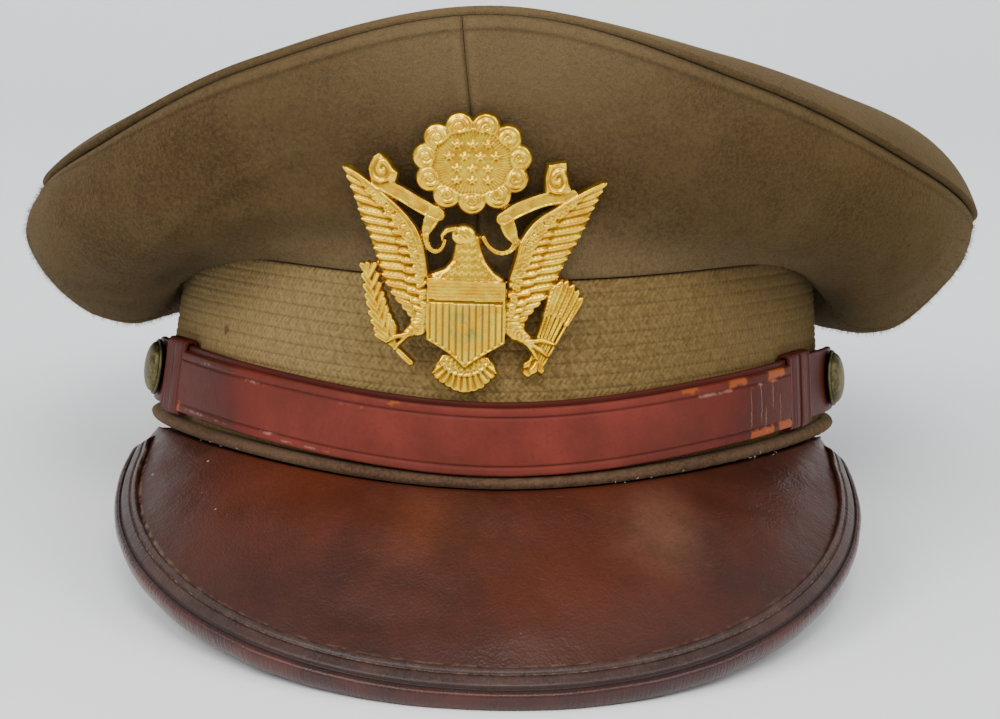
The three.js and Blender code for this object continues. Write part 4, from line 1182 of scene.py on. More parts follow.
def binding_stitches():
    fine = np.linspace(-BINDING_TUCK, BINDING_TUCK, 1500)
    lip, out, down, width = binding_frame(fine)
    line = lip - out * (width * (1 - STITCH_LINE / BINDING_WIDTH))[:, None] - down * (BINDING_OUTER - 0.22)
    run = run_along(line)
    starts_at = np.arange(1.0, run[-1] - 2, STITCH_PITCH)
    starts, ends, downs = (np.stack([np.interp(places, run, values[:, axis]) for axis in range(3)], -1)
                           for places, values in
                           ((starts_at, line), (starts_at + STITCH_LENGTH, line), (starts_at, down)))
    points, faces = spindles(starts, ends, -downs, STITCH_HALF_THICK)
    return make_piece("binding_stitches", points, faces, THREAD)


binding_stitches()

# %% [markdown]
# ## Strap leather
#
# The chin strap is redder than the peak. Its colour, rubbed edges and cracks all depend on where a point
# lies along and across the strap, so the strap carries those two lengths. A painted picture could hold
# the marks, but a table can be read: each row is a span along the strap and a span across it.

# %% Strap finish
STRAP_WIDTH = 15.6
RAW_SPOTS = [
    (50, 56, 14.4, 16), (68, 74.5, 13.9, 16), (85, 93.8, 13.4, 16), (76, 87, -0.5, 2.0),
    (90, 98.2, -0.5, 2.3), (-110, -107.6, -0.5, 2.6), (-26, -23.6, 14.5, 15.2),
]
PALE_SCUFFS = [
    (56, 69, 12.9, 13.7), (76, 90, 12.7, 13.3), (-66, -60, 1.5, 2.3), (-58, -42, 0.8, 1.2),
    (-108, -92, 1.1, 1.7), (-86, -80, 1.0, 1.5), (-95, -89, 13.9, 14.5), (-74, -66, 12.9, 13.5),
    (-43, -33, 12.6, 13.2),
]
CRACKS = [(76.3, 3.0, 12.0), (81.0, 4.0, 13.4), (83.2, 1.0, 7.0), (87.0, 6.5, 13.0), (91.0, 2.6, 9.0)]
CREASE_IN = 2.15


def strap_finish(name, worn=True, tone=1.0):
    leather = Finish(name, **{"Specular IOR Level": 0.1, "Coat Weight": 0.02, "Coat Roughness": 0.35})
    _, along, across = leather.measures()
    cloud = leather.noise(34.0, 4.0, 0.55)
    grain = leather.noise(1000.0, 3.0, 0.6)
    rough = leather.noise(330.0, 3.0, 0.65)
    red = leather.blend(leather.span(cloud, 0.35, 0.68), (0.1, 0.0195, 0.0125), (0.172, 0.0305, 0.021))
    brown = leather.blend(leather.span(cloud, 0.35, 0.65), (0.052, 0.0085, 0.0045), (0.084, 0.0115, 0.006))
    ends = leather.span(leather.maths("ABSOLUTE", leather.maths("ADD", along, 4.0)), 45.0, 88.0)
    hide = leather.blend(ends if worn else 1.0, red, brown)
    if tone != 1.0:
        hide = leather.blend(1.0 - tone, hide, (0.026, 0.0095, 0.0075))
    hide = leather.blend(leather.span(grain, 0.45, 0.8, 0.0, 0.3), hide, (0.062, 0.013, 0.009))
    if worn:
        wobble = leather.times(leather.maths("SUBTRACT", rough, 0.5), 3.2)
        shaky_along = leather.maths("ADD", along, wobble)
        shaky_across = leather.maths("ADD", across, wobble)
        for creased in (CREASE_IN, STRAP_WIDTH - CREASE_IN):
            line = leather.within(across, creased - 0.16, creased + 0.16, 0.2)
            hide = leather.blend(leather.times(line, 0.6), hide, (0.042, 0.0095, 0.007))
        for low, high, foot, top in PALE_SCUFFS:
            spot = leather.times(leather.within(shaky_along, low, high, 0.6),
                                 leather.within(across, foot, top, 0.22))
            spot = leather.times(spot, leather.span(rough, 0.44, 0.62, 0.0, 0.7))
            hide = leather.blend(spot, hide, (0.3, 0.15, 0.11))
        for low, high, foot, top in RAW_SPOTS:
            spot = leather.times(leather.within(shaky_along, low, high, 0.5),
                                 leather.within(shaky_across, foot, top, 0.3))
            hide = leather.blend(leather.times(spot, 0.9), hide, (0.28, 0.064, 0.015))
        for place, foot, top in CRACKS:
            near = leather.within(leather.maths("ADD", along, leather.times(wobble, 0.5)),
                                  place - 0.1, place + 0.1, 0.12)
            crack = leather.times(near, leather.within(across, foot, top, 0.8))
            hide = leather.blend(leather.times(crack, 0.7), hide, (0.36, 0.2, 0.13))
        raw = leather.blend(leather.span(rough, 0.35, 0.7), (0.15, 0.034, 0.012), (0.36, 0.095, 0.022))
        hide = leather.blend(leather.times(leather.mark("raw"), 0.85), hide, raw)
    dull = leather.span(cloud, 0.3, 0.7, 0.42, 0.56)
    leather.bump((cloud, 0.0005), (leather.noise(260.0, 3.0, 0.6), 0.00012), (grain, 0.00007))
    return leather.done(hide, dull)


STRAP_LEATHER = strap_finish("red brown strap leather")
UNDER_LEATHER = strap_finish("under strap leather", worn=False, tone=0.75)

# %% [markdown]
# ## The two runs of the chin strap
#
# The strap is doubled: an under run from button to button and an upper run whose raw ends stop at
# the keepers. A flat profile on a curve would lose the pressed lines near the edges, which are real
# grooves here. Where the keepers pass round the under run they hold both runs a little off the braid.

# %% Strap places and the two runs
STRAP_FOOT, STRAP_SIDE_RISE = 2.5, 3.5
STRAP_LEFT_END, STRAP_RIGHT_END = -70.3, 63.7
STRAP_THICKNESS, UNDER_THICKNESS, UNDER_RISE = 1.6, 1.3, 1.3
UNDER_OUTER = BAND_GAP + UNDER_THICKNESS
UNDER_END, UNDER_TIP = 91, 5.2
KEEPER_LIFT, TAB_LIFT = 1.1, 1.5


def strap_point(degrees, out, up):
    """Point a distance out from the braid and up from the strap's foot, lifted as the strap is."""
    degrees, out, up = np.broadcast_arrays(degrees, out, up)
    aside = np.abs(degrees)
    lift = KEEPER_LIFT * smooth_step(aside, 38, 56) + TAB_LIFT * smooth_step(aside, 68, 84)
    foot = STRAP_FOOT + STRAP_SIDE_RISE * np.sin(np.radians(degrees)) ** 2
    return band_point(degrees, out + lift, foot + up)


def strap_lengths(degrees):
    fine = np.linspace(-95, 95, 381)
    line = strap_point(fine, UNDER_OUTER + STRAP_THICKNESS, STRAP_WIDTH / 2)
    run = run_along(line)
    return np.interp(degrees, fine, run) - np.interp(0, fine, run)


def strap_run(name, degrees, inner, thickness, width, creased, half_at, finish, node):
    near_edge = np.array([0, 0.08, 0.2, 0.38, 0.6, 0.9, 1.3, 1.65, 1.85, 2.0, 2.15, 2.3, 2.45, 2.65, 3, 3.6])
    up = np.concatenate([near_edge, np.linspace(4.4, width - 4.4, 10), (width - near_edge)[::-1]])
    from_edge = np.minimum(up, width - up)
    corner = corner_drop(from_edge, 0.5)
    face = inner + thickness - 0.5 * corner + 0.12 * smooth_step(from_edge, 2, 6)
    if creased:
        face = face - 0.34 * ridge(from_edge, CREASE_IN, 0.26) + 0.1 * ridge(from_edge, 1.1, 0.6)
    back = inner + 0.3 * corner
    count = len(up)
    middle = width / 2
    heights = middle + (np.concatenate([up, up[::-1]]) - middle) * half_at[:, None]
    outs = np.concatenate([back, face[::-1]])[None, :]
    points = strap_point(degrees[:, None], outs, heights)
    waver = 0.14 * slow_waves(points, 33, 41) * smooth_step(outs, inner + 0.4, inner + thickness)
    points = strap_point(degrees[:, None], outs + waver, heights)
    along = np.broadcast_to(strap_lengths(degrees)[:, None], heights.shape)
    measures = np.stack([along, np.broadcast_to(np.concatenate([up, up[::-1]]), heights.shape)], -1)
    raw = np.zeros(heights.shape)
    raw[0], raw[-1] = 1, 1
    raw[:, :count] = np.maximum(raw[:, :count], 0.6)
    faces = np.concatenate([grid_faces(len(degrees), 2 * count), end_caps(len(degrees), 2 * count)])
    return make_piece(name, points, faces, finish, node, {"raw": raw}, measures)


UPPER_DEGREES = np.linspace(STRAP_LEFT_END, STRAP_RIGHT_END, 261)
UPPER_DEGREES = np.sort(np.concatenate([UPPER_DEGREES, [STRAP_LEFT_END + 0.12, STRAP_RIGHT_END - 0.12]]))
strap_run("upper_strap", UPPER_DEGREES, UNDER_OUTER + BAND_GAP, STRAP_THICKNESS, STRAP_WIDTH, True,
          np.ones(len(UPPER_DEGREES)), STRAP_LEATHER, "strap_front")

tip_steps = UNDER_TIP * np.array([0.004, 0.02, 0.05, 0.1, 0.2, 0.35, 0.5, 0.7, 0.85])
plain_run = np.linspace(-UNDER_END + UNDER_TIP, UNDER_END - UNDER_TIP, 201)
UNDER_DEGREES = np.concatenate([-UNDER_END + tip_steps, plain_run, UNDER_END - tip_steps[::-1]])
into_tip = np.maximum(np.abs(UNDER_DEGREES) - UNDER_END + UNDER_TIP, 0) / UNDER_TIP
strap_run("under_strap", UNDER_DEGREES, BAND_GAP, UNDER_THICKNESS, STRAP_WIDTH + UNDER_RISE, False,
          np.sqrt(1 - into_tip**2), UNDER_LEATHER, "strap_back")

# %% [markdown]
# ## Keepers
#
# Two leather loops hold the strap's ends down. A bent box would cut into the strap, so each loop is a
# rounded rectangle in section, swept along the strap's own curve, with pressed lines along its edges and
# fine wrinkles from the bend.

# %% Make the keepers
KEEPERS = {"keeper_left": (-78.0, -70.8), "keeper_right": (64.2, 72.0)}
KEEPER_BACK, KEEPER_WALL = 0.8, 1.1


def rounded_loop(low_out, high_out, low_up, high_up, corner, count=96):
    """Points round a rounded rectangle, evenly by turn at its corners."""
    turns = np.linspace(0, 2 * math.pi, count, endpoint=False)
    side_out, side_up = np.cos(turns), np.sin(turns)
    centre = [(low_out + high_out) / 2, (low_up + high_up) / 2]
    half = [(high_out - low_out) / 2, (high_up - low_up) / 2]
    power_out, power_up = 2 / (2 + half[0] / corner), 2 / (2 + half[1] / corner)
    return (centre[0] + half[0] * np.sign(side_out) * np.abs(side_out) ** power_out,
            centre[1] + half[1] * np.sign(side_up) * np.abs(side_up) ** power_up)


def keeper(name, start, end):
    hollow_out = UNDER_OUTER + BAND_GAP
    low, high = -BAND_GAP, STRAP_WIDTH + UNDER_RISE + BAND_GAP
    outer = rounded_loop(-KEEPER_BACK, hollow_out + KEEPER_WALL, low - KEEPER_WALL, high + KEEPER_WALL, 1.0)
    inner = rounded_loop(0, hollow_out, low, high, 0.5)
    width = abs(strap_lengths(end) - strap_lengths(start))
    places = spaced(width, 0.5)
    from_edge = np.minimum(places, width - places)
    corner = corner_drop(from_edge, 0.4)
    wrinkles = 0.05 * np.sin(places * 2 * math.pi / 1.3 + 0.6) + 0.04 * np.sin(places * 2 * math.pi / 0.7)
    thick = 1 - 0.4 * corner - 0.22 * ridge(from_edge, 1.5, 0.28) + wrinkles * smooth_step(from_edge, 0.4, 1)
    inside = 0.25 * corner
    degrees = start + (end - start) * places / width
    shares = np.concatenate([thick, inside[::-1]])[:, None]
    degrees = np.concatenate([degrees, degrees[::-1]])[:, None]
    out = inner[0] + (outer[0] - inner[0]) * shares
    up = inner[1] + (outer[1] - inner[1]) * shares
    points = np.swapaxes(strap_point(degrees, out, up), 0, 1)
    raw = np.broadcast_to(np.concatenate([corner, corner[::-1]]) > 0.8, points.shape[:2]).astype(float)
    measures = np.stack(np.broadcast_arrays(strap_lengths(degrees[:, 0])[None, :], up.T), -1)
    faces = grid_faces(*points.shape[:2], ring=True)
    return make_piece(f"leather_{name}", points, faces, KEEPER_LEATHER, name, {"raw": raw * 0.4}, measures)


KEEPER_LEATHER = strap_finish("keeper leather", worn=False, tone=0.95)
for keeper_name, (keeper_start, keeper_end) in KEEPERS.items():
    keeper(keeper_name, keeper_start, keeper_end)

# %% [markdown]
# ## Side buttons
#
# A domed brass button on each side holds the strap. It is turned in one profile from the washer inside
# the band to the rolled rim and the dome; a ball and a cylinder would leave a seam. The lacquer is long
# gone, so the brass is dark at the rim and greenish on the dome.

# %% Old brass and the buttons
def old_brass_finish():
    brass = Finish("tarnished brass", Metallic=1.0)
    tarnish = brass.noise(420.0, 4.0, 0.6)
    green = brass.noise(160.0, 3.0, 0.6)
    metal = brass.blend(brass.span(tarnish, 0.35, 0.7), (0.06, 0.05, 0.025), (0.24, 0.2, 0.085))
    metal = brass.blend(brass.span(green, 0.5, 0.75, 0.0, 0.55), metal, (0.09, 0.12, 0.06))
    dark = brass.span(brass.mark("groove"), 0.2, 0.9, 0.0, 0.85)
    metal = brass.blend(dark, metal, (0.012, 0.01, 0.008))
    brass.bump((tarnish, 0.0001))
    return brass.done(metal, brass.span(tarnish, 0.3, 0.7, 0.4, 0.65))


OLD_BRASS = old_brass_finish()
BUTTON_ANGLE = 84
BUTTON_RADIUS, DOME_RADIUS, DOME_RISE = 7.5, 6.7, 2.5
ROUND_STEPS = 72


def turned(name, rings, place, finish, node, deep=None, ring=False):
    """Piece turned on a lathe from rings of (radius, height), stood on a place."""
    centre, along, upward, outward = place
    turns = np.linspace(0, 2 * math.pi, ROUND_STEPS, endpoint=False)[:, None, None]
    radius, height = np.array(rings, float).T
    radial = along * np.cos(turns) + upward * np.sin(turns)
    points = centre + radial * radius[None, :, None] + outward * height[None, :, None]
    faces = grid_faces(ROUND_STEPS, len(rings), ring=True, loop=ring)
    groove = np.broadcast_to(np.zeros(len(rings)) if deep is None else deep, points.shape[:2])
    return make_piece(name, points, faces, finish, node, {"groove": groove})


def button_place(side):
    angle = side * BUTTON_ANGLE
    foot = STRAP_FOOT + STRAP_SIDE_RISE * np.sin(np.radians(angle)) ** 2
    up = foot + (STRAP_WIDTH + UNDER_RISE) / 2
    along = band_point(angle + 1, 0, up) - band_point(angle - 1, 0, up)
    upward = band_point(angle, 0, up + 1) - band_point(angle, 0, up - 1)
    along, upward = along / norm(along), upward / norm(upward)
    outward = np.cross(along, upward)
    return band_point(angle, 0, up), along, np.cross(outward, along), outward / norm(outward)


def button(name, side):
    back = UNDER_OUTER + KEEPER_LIFT + TAB_LIFT + BAND_GAP
    washer = -BRAID_THICKNESS - BAND_GAP - HEAD_BAND_THICKNESS - BAND_GAP
    stem = [(0, washer - 1), (3.7, washer - 1), (4, washer - 0.8), (4, washer - 0.2), (3.7, washer),
            (1.7, washer), (1.6, washer + 0.2), (1.6, back)]
    rim = [(6.7, back), (7.2, back + 0.1), (7.45, back + 0.35), (BUTTON_RADIUS, back + 0.65),
           (7.4, back + 0.95), (7.1, back + 1.12), (6.85, back + 1.05), (DOME_RADIUS, back + 1.2)]
    turns = np.linspace(0, math.pi / 2, 14)[1:-1]
    dome = [(DOME_RADIUS * math.cos(t), back + 1.2 + DOME_RISE * math.sin(t)) for t in turns]
    dome.append((0, back + 3.7))
    rings = stem + rim + dome
    deep = [0.6] * len(stem) + [0.6, 0.7, 0.7, 0.5, 0.35, 0.5, 1.0, 0.7] + [0.15] * len(dome)
    turned(name, rings, button_place(side), OLD_BRASS, name.replace("brass_", ""), deep)


button("brass_button_left", -1)
button("brass_button_right", 1)

# %% [markdown]
# ## The badge as a stamped relief
#
# A cap badge is struck from sheet brass between two dies and then pierced. It could be sculpted, but
# striking is easier to repeat: each point of a fine grid keeps how high the metal stands and how far
# inside the outline it lies. Forms are pressed in one by one, the higher one winning.

# %% Sheet and press
BADGE_STEP = 0.222
ACROSS, UPWARD = np.meshgrid(
    np.arange(-31.5, 33.6, BADGE_STEP), np.arange(-1.0, 66.4, BADGE_STEP), indexing="ij"
)
RELIEF = {"height": np.zeros_like(ACROSS), "inside": np.full_like(ACROSS, -9.0)}


def press(inside, low, high, soft, detail=0.0):
    """Presses a form with a rounded edge: low at its outline, high from a soft distance in."""
    rise = np.clip(inside / soft, 0, 1)
    form = low + (high - low) * np.sqrt(rise * (2 - rise)) + detail * rise
    RELIEF["height"] = np.where(inside > 0, np.maximum(RELIEF["height"], form), RELIEF["height"])
    RELIEF["inside"] = np.maximum(RELIEF["inside"], inside)


def tell(form):
    area = (RELIEF["inside"] > 0).sum() * BADGE_STEP**2
    print(f"badge with {form}: {area:.0f} square mm of metal, {RELIEF['height'].max():.1f} mm high")


print("sheet for the badge:", ACROSS.size, "points,", BADGE_STEP, "mm apart")

# %% [markdown]
# ## Punches
#
# A die cutter works with a few punches: here an outline of straight sides, a stroke, a disc and a
# feather. They could be curves turned into meshes, but the distance inside the edge is one number that
# makes rounded rims and hollows alike.

# %% Outlines, strokes and discs
def in_outline(points):
    """Distance inside a closed outline of straight sides."""
    nearest, within = np.full_like(ACROSS, 99.0), np.zeros(ACROSS.shape, bool)
    for (x0, y0), (x1, y1) in zip(points, points[1:] + points[:1]):
        run_x, run_y = x1 - x0, y1 - y0
        t = ((ACROSS - x0) * run_x + (UPWARD - y0) * run_y) / max(run_x**2 + run_y**2, 1e-9)
        t = np.clip(t, 0, 1)
        nearest = np.minimum(nearest, np.hypot(ACROSS - x0 - t * run_x, UPWARD - y0 - t * run_y))
        if y0 != y1:
            crossed = (y0 > UPWARD) != (y1 > UPWARD)
            within ^= crossed & (ACROSS < x0 + (UPWARD - y0) * run_x / run_y)
    return np.where(within, nearest, -nearest)


def in_stroke(line):
    """Distance inside a stroke through (x, y, width) points; also how far along and how far off it."""
    best = np.full_like(ACROSS, -99.0)
    along, off, start = np.zeros_like(ACROSS), np.zeros_like(ACROSS), 0.0
    for (x0, y0, w0), (x1, y1, w1) in zip(line, line[1:]):
        run_x, run_y = x1 - x0, y1 - y0
        length = math.hypot(run_x, run_y)
        t = np.clip(((ACROSS - x0) * run_x + (UPWARD - y0) * run_y) / length**2, 0, 1)
        away = np.hypot(ACROSS - x0 - t * run_x, UPWARD - y0 - t * run_y)
        side = np.sign((ACROSS - x0) * run_y - (UPWARD - y0) * run_x)
        inside = (w0 + (w1 - w0) * t) / 2 - away
        better = inside > best
        along, off = np.where(better, start + t * length, along), np.where(better, side * away, off)
        best = np.maximum(best, inside)
        start += length
    return best, along, off


def in_disc(x, y, half_width, half_height=None):
    half_height = half_height or half_width
    share = np.hypot((ACROSS - x) / half_width, (UPWARD - y) / half_height)
    return (1 - share) * min(half_width, half_height)


def smooth_line(points, count):
    """Smooth curve through a few points of any number of columns."""
    rows = np.array(points, float)
    padded = np.concatenate([2 * rows[:1] - rows[1:2], rows, 2 * rows[-1:] - rows[-2:-1]])
    made = []
    for share in np.linspace(0, len(rows) - 1, count):
        i = min(int(share), len(rows) - 2)
        t = share - i
        a, b, c, d = padded[i:i + 4]
        made.append(tuple(0.5 * (2 * b + (c - a) * t + (2 * a - 5 * b + 4 * c - d) * t**2
                                 + (3 * b - a - 3 * c + d) * t**3)))
    return made


print("a disc of 2 mm covers", (in_disc(0, 30, 2) > 0).sum(), "points of the sheet")

# %% A feather
BARB_PITCH = 0.95


def feather(root, tip, width, low, high, barb=0.16, tilt=0.0):
    """A feather from its root to its rounded tip, with a raised quill and slanting barbs. Tilt lifts
    the side that laps over the next feather."""
    x0, y0, x1, y1 = *root, *tip
    length = math.hypot(x1 - x0, y1 - y0)
    along = ((ACROSS - x0) * (x1 - x0) + (UPWARD - y0) * (y1 - y0)) / length
    off = ((ACROSS - x0) * (y1 - y0) - (UPWARD - y0) * (x1 - x0)) / length
    share = np.clip(along / length, 0, 1)
    rounding = np.clip(1 - (np.clip(share - 0.72, 0, 1) / 0.28) ** 2.4, 0, 1)
    half = width / 2 * (0.72 + 0.28 * share) * np.sqrt(rounding)
    inside = np.minimum(half - np.abs(off), np.minimum(along + 0.6, length - along + 0.3))
    grain = barb * np.cos(2 * math.pi * (along + 1.25 * np.abs(off)) / BARB_PITCH)
    detail = grain * smooth_step(np.abs(off), 0.15, 0.45) + 0.2 * ridge(off, 0, 0.22) + tilt * off / width
    press(inside, low, high, width * 0.3, detail)


print("barbs of a feather:", BARB_PITCH, "mm apart")

# %% [markdown]
# ## Wings
#
# The eagle is displayed, as in countless old coats of arms. Each wing is an arm with small scales, a row
# of short covert feathers and a row of long flight feathers. Feathers set one by one would look uneven;
# with roots and tips on two smooth lines, a wing is a loop. The dies were cut by hand, so the right wing
# has lines of its own.

# %% Press the wings
WINGS = {
    "left": {
        "arm": [(-9.6, 27.5), (-10.6, 33), (-12.2, 37.4), (-15.4, 41.6), (-20.6, 46), (-25.6, 49.6),
                (-28.2, 51)],
        "tips": [(-12.6, 15.8), (-13.4, 18.4), (-15.6, 20.8), (-17.8, 23.4), (-19.6, 26.6), (-20.6, 29.8),
                 (-21.8, 33), (-23.2, 36.8), (-25, 40), (-26.4, 44.2), (-28, 48.2), (-29.2, 51.4)],
    },
    "right": {
        "arm": [(9.6, 26.8), (11, 31.2), (12.2, 35.4), (15.2, 39.6), (20.4, 43), (26, 46.2),
                (30.4, 48.2)],
        "tips": [(12.6, 14.8), (13.2, 17.4), (15.4, 20.2), (17.8, 22.8), (20.2, 26.6), (21.8, 29.8),
                 (23.2, 32.6), (25.2, 35.6), (26.8, 38.6), (28.6, 42.4), (30.2, 45.6), (31.7, 48.4)],
    },
}
FLIGHT_FEATHERS, COVERTS, SCALES = 19, 17, 30
ROOT_LAG = 0.2


def press_wing(arm, tips):
    side = -1 if arm[0][0] < 0 else 1
    roots = [(side * 8.4, 15.5), (side * 8.8, 20)] + arm
    root_line = smooth_line(roots, 101)
    tip_line = smooth_line(tips, 101)
    press(in_outline(root_line + tip_line[::-1]), 0.9, 1.15, 0.5)

    def root_and_tip(share):
        lag = ROOT_LAG * math.sin(math.pi * min(share, 0.75) / 1.5) ** 0.8
        return root_line[int(100 * max(share - lag, 0))], tip_line[int(100 * share)]

    for i in range(FLIGHT_FEATHERS):
        share = i / (FLIGHT_FEATHERS - 1)
        feather(*root_and_tip(share), 2.6 - 0.5 * share, 0.9, 1.75, 0.1, side * 0.95)
    for i in range(COVERTS):
        share = (i + 0.4) / COVERTS
        root, far = root_and_tip(share)
        reach = 0.52 - 0.08 * share
        tip = (root[0] + (far[0] - root[0]) * reach, root[1] + (far[1] - root[1]) * reach)
        feather(root, tip, 2.2 - 0.5 * share, 1.3, 2.2, 0.08, side * 0.8)
    for i in range(SCALES):
        x, y = root_line[int(10 + 72 * i / SCALES)]
        far_x, far_y = tip_line[int(10 + 72 * i / SCALES)]
        for step in (0.1, 0.2):
            spot = (x + (far_x - x) * (step + 0.03 * (i % 2)), y + (far_y - y) * (step + 0.03 * (i % 2)))
            press(in_disc(*spot, 0.75), 1.7, 2.45, 0.7)
    widths = np.interp(np.linspace(0, 1, 40), [0, 0.25, 0.8, 1], [1.5, 1.9, 1.5, 1.0])
    line = [(x, y, width) for (x, y), width in zip(smooth_line(arm, 40), widths)]
    inside, _, off = in_stroke(line)
    press(inside, 1.4, 2.5, 0.8, -0.3 * ridge(off, 0.1, 0.16))


for wing in WINGS.values():
    press_wing(wing["arm"], wing["tips"])
tell("wings")

# %% [markdown]
# ## Ribbon and roundel
#
# The ribbon is left bare: it runs from the beak, loops down and up, and flies out over each wing. The
# roundel has eleven rolled cloud lobes round a scalloped rim, a field of fine rays and plain stars.
# Drawn lines would do for each, but strokes and waves round a centre stay even.

# %% Press the ribbon and the roundel
RIBBON_RUNS = [
    [(-5.3, 35.4, 1), (-5.8, 34, 1.1), (-6.7, 33, 1.2), (-7.9, 32.9, 1.3), (-9, 33.9, 1.4),
     (-9.6, 35.9, 1.6), (-9.6, 38, 2.2)],
    [(-9.4, 37.4, 2.2), (-8.6, 39.6, 3.4), (-7.6, 41.6, 3.6)],
    [(-6.9, 41.2, 3.2), (-10.6, 43, 3.5), (-15.2, 45.6, 3.4), (-20.6, 48.2, 3.3)],
    [(3.1, 36.2, 1.2), (4.3, 34.2, 1.2), (5.9, 33, 1.3), (7.6, 32.7, 1.3), (9.3, 33.4, 1.4),
     (10.6, 35.4, 1.8)],
    [(10, 35.6, 2), (9, 37.6, 3.4), (8.2, 40, 3.6)],
    [(7.4, 40.4, 3.2), (11, 42.6, 3.5), (16.2, 44.6, 3.3), (23, 45.6, 3)],
]
RIBBON_ENDS = [
    [(-22.4, 48.4), (-23, 51.4), (-21.8, 54), (-20.4, 55), (-18.6, 53.8), (-17, 51.6), (-15.8, 50.4),
     (-16.4, 48.2), (-19.6, 47.4)],
    [(16.7, 46), (16.5, 50), (17.2, 53), (21.6, 53.5), (21.9, 50.6), (23, 46.4), (20, 45.2)],
]
ROUNDEL = {"x": 0.5, "y": 53, "half_width": 10.3, "half_height": 8.5, "lobe": 3.3, "lobes": 11}


def press_ribbon():
    for run in RIBBON_RUNS:
        inside, along, _ = in_stroke(smooth_line(run, 24))
        hem = 0.38 * (1 - smooth_step(inside, 0.3, 0.6))
        press(inside, 1.5, 1.95, 0.3, hem + 0.1 * np.sin(along * 1.1))
    for outline in RIBBON_ENDS:
        inside = in_outline(outline)
        x, y = np.mean(outline, axis=0)
        curl = np.hypot(ACROSS - x, (UPWARD - y) * 0.8) * 2 * math.pi / 1.9
        press(inside, 1.6, 2.5, 1.2, 0.3 * np.cos(curl + np.arctan2(UPWARD - y, ACROSS - x)))


def press_roundel():
    x, y, wide, tall = (ROUNDEL[key] for key in ("x", "y", "half_width", "half_height"))
    turn = np.arctan2((ACROSS - x) / wide, (UPWARD - y) / tall)
    share = np.hypot((ACROSS - x) / wide, (UPWARD - y) / tall)
    lobe_turn = turn * ROUNDEL["lobes"] / 2
    press(in_disc(x, y, wide, tall), 1.4, 1.6, 0.4)
    for i in range(ROUNDEL["lobes"]):
        angle = 2 * math.pi * (i + 0.5) / ROUNDEL["lobes"]
        lobe_x, lobe_y = x + wide * math.sin(angle), y + tall * math.cos(angle)
        away = np.hypot(ACROSS - lobe_x, UPWARD - lobe_y)
        swirl = away - 0.16 * (np.arctan2(UPWARD - lobe_y, ACROSS - lobe_x) - angle)
        detail = 0.22 * np.cos(2 * math.pi * swirl / 1.25) * smooth_step(away, 0.3, 0.8)
        press(ROUNDEL["lobe"] - away, 1.2, 2.6, 2.3, detail)
    rim = 0.89 - 0.07 * np.abs(np.sin(lobe_turn))
    field = (rim - share) * tall
    floor = 2.25 - 0.35 * share**2 + 0.1 * np.cos(turn * 66) * smooth_step(share, 0.45, 0.62)
    RELIEF["height"] = np.where(field > 0, floor, RELIEF["height"])
    band = 1.85 + 0.6 * ridge(share * tall, (rim + 0.01) * tall, 0.24)
    beside = np.abs(field) < 1.2
    RELIEF["height"] = np.where(beside, np.maximum(RELIEF["height"], band), RELIEF["height"])


STAR_ROWS = [(3, 4), (4, 1.35), (3, -1.35), (3, -4)]
STAR_SPACING, STAR_RADIUS = 3.4, 1.35


def press_stars():
    for count, rise in STAR_ROWS:
        for i in range(count):
            x = ROUNDEL["x"] + (i - (count - 1) / 2) * STAR_SPACING
            y = ROUNDEL["y"] + rise
            corners = [(x + radius * math.sin(k * math.pi / 5), y + radius * math.cos(k * math.pi / 5))
                       for k, radius in enumerate([STAR_RADIUS, STAR_RADIUS * 0.45] * 5)]
            press(in_outline(corners), 2.2, 2.8, 0.45)


press_ribbon()
press_roundel()
press_stars()
tell("ribbon and roundel")

# %% [markdown]
# ## Body, shield, legs and tail
#
# The eagle's breast carries a shield with a plain bar over upright ribs. Scales, ribs and plumes are a
# millimetre wide and less, too fine to be drawn one by one, so they are waves in the height. The shield
# is pressed after body and tail, because it lies on them.

# %% Press the body, the shield, the legs and the tail
NECK = [(-3.3, 35.2), (-3.4, 33.4), (-3.9, 31.2), (-5.4, 29.3), (-8.6, 28), (-8.6, 24), (8, 24),
        (8, 26.8), (5.8, 28.4), (4, 30.8), (2.9, 33.6), (2.4, 36.6), (0, 38), (-2.6, 37.6)]
HEAD = (-1.2, 36.6, 2.9, 2.6)
BEAK = [(-3, 38.2, 1.6), (-4.8, 37.8, 1.7), (-5.9, 36.6, 1.3), (-5.9, 35.4, 0.7)]
SHIELD = [(-9.2, 27.1), (8.3, 26.2), (8.3, 11.9), (5.6, 10.3), (2.6, 8.6), (0.6, 7.2), (-0.6, 6.1),
          (-2, 7.6), (-3.8, 9.2), (-6.4, 10.9), (-9.3, 12.6)]
SHIELD_BAR_FOOT = 21.4
SHIELD_RIBS = 12
TAIL = [(-5.8, 9.4), (-7.4, 6.6), (-8.3, 4.8), (-6.9, 2.9), (-4.9, 1.7), (-2.9, 0.5), (-0.7, 0), (1.7, 0.4),
        (3.6, 1.2), (5.2, 2.8), (7.1, 4.9), (6.2, 6.8), (4.7, 9)]


def press_head():
    inside = in_outline(NECK)
    rows = np.cos(UPWARD * 2 * math.pi / 1.7 + np.cos(ACROSS * 4))
    press(inside, 1.3, 2.7, 2.6, 0.14 * np.cos(ACROSS * 2 * math.pi / 1.5) * rows)
    press(in_disc(*HEAD), 1.8, 3.2, 2.4, 0.08 * np.cos((ACROSS + UPWARD) * 5))
    press(in_stroke(BEAK)[0], 1.6, 2.9, 0.7)
    eye = in_disc(-2.9, 37.2, 0.5)
    RELIEF["height"] = np.where(eye > 0, 2.55, RELIEF["height"])


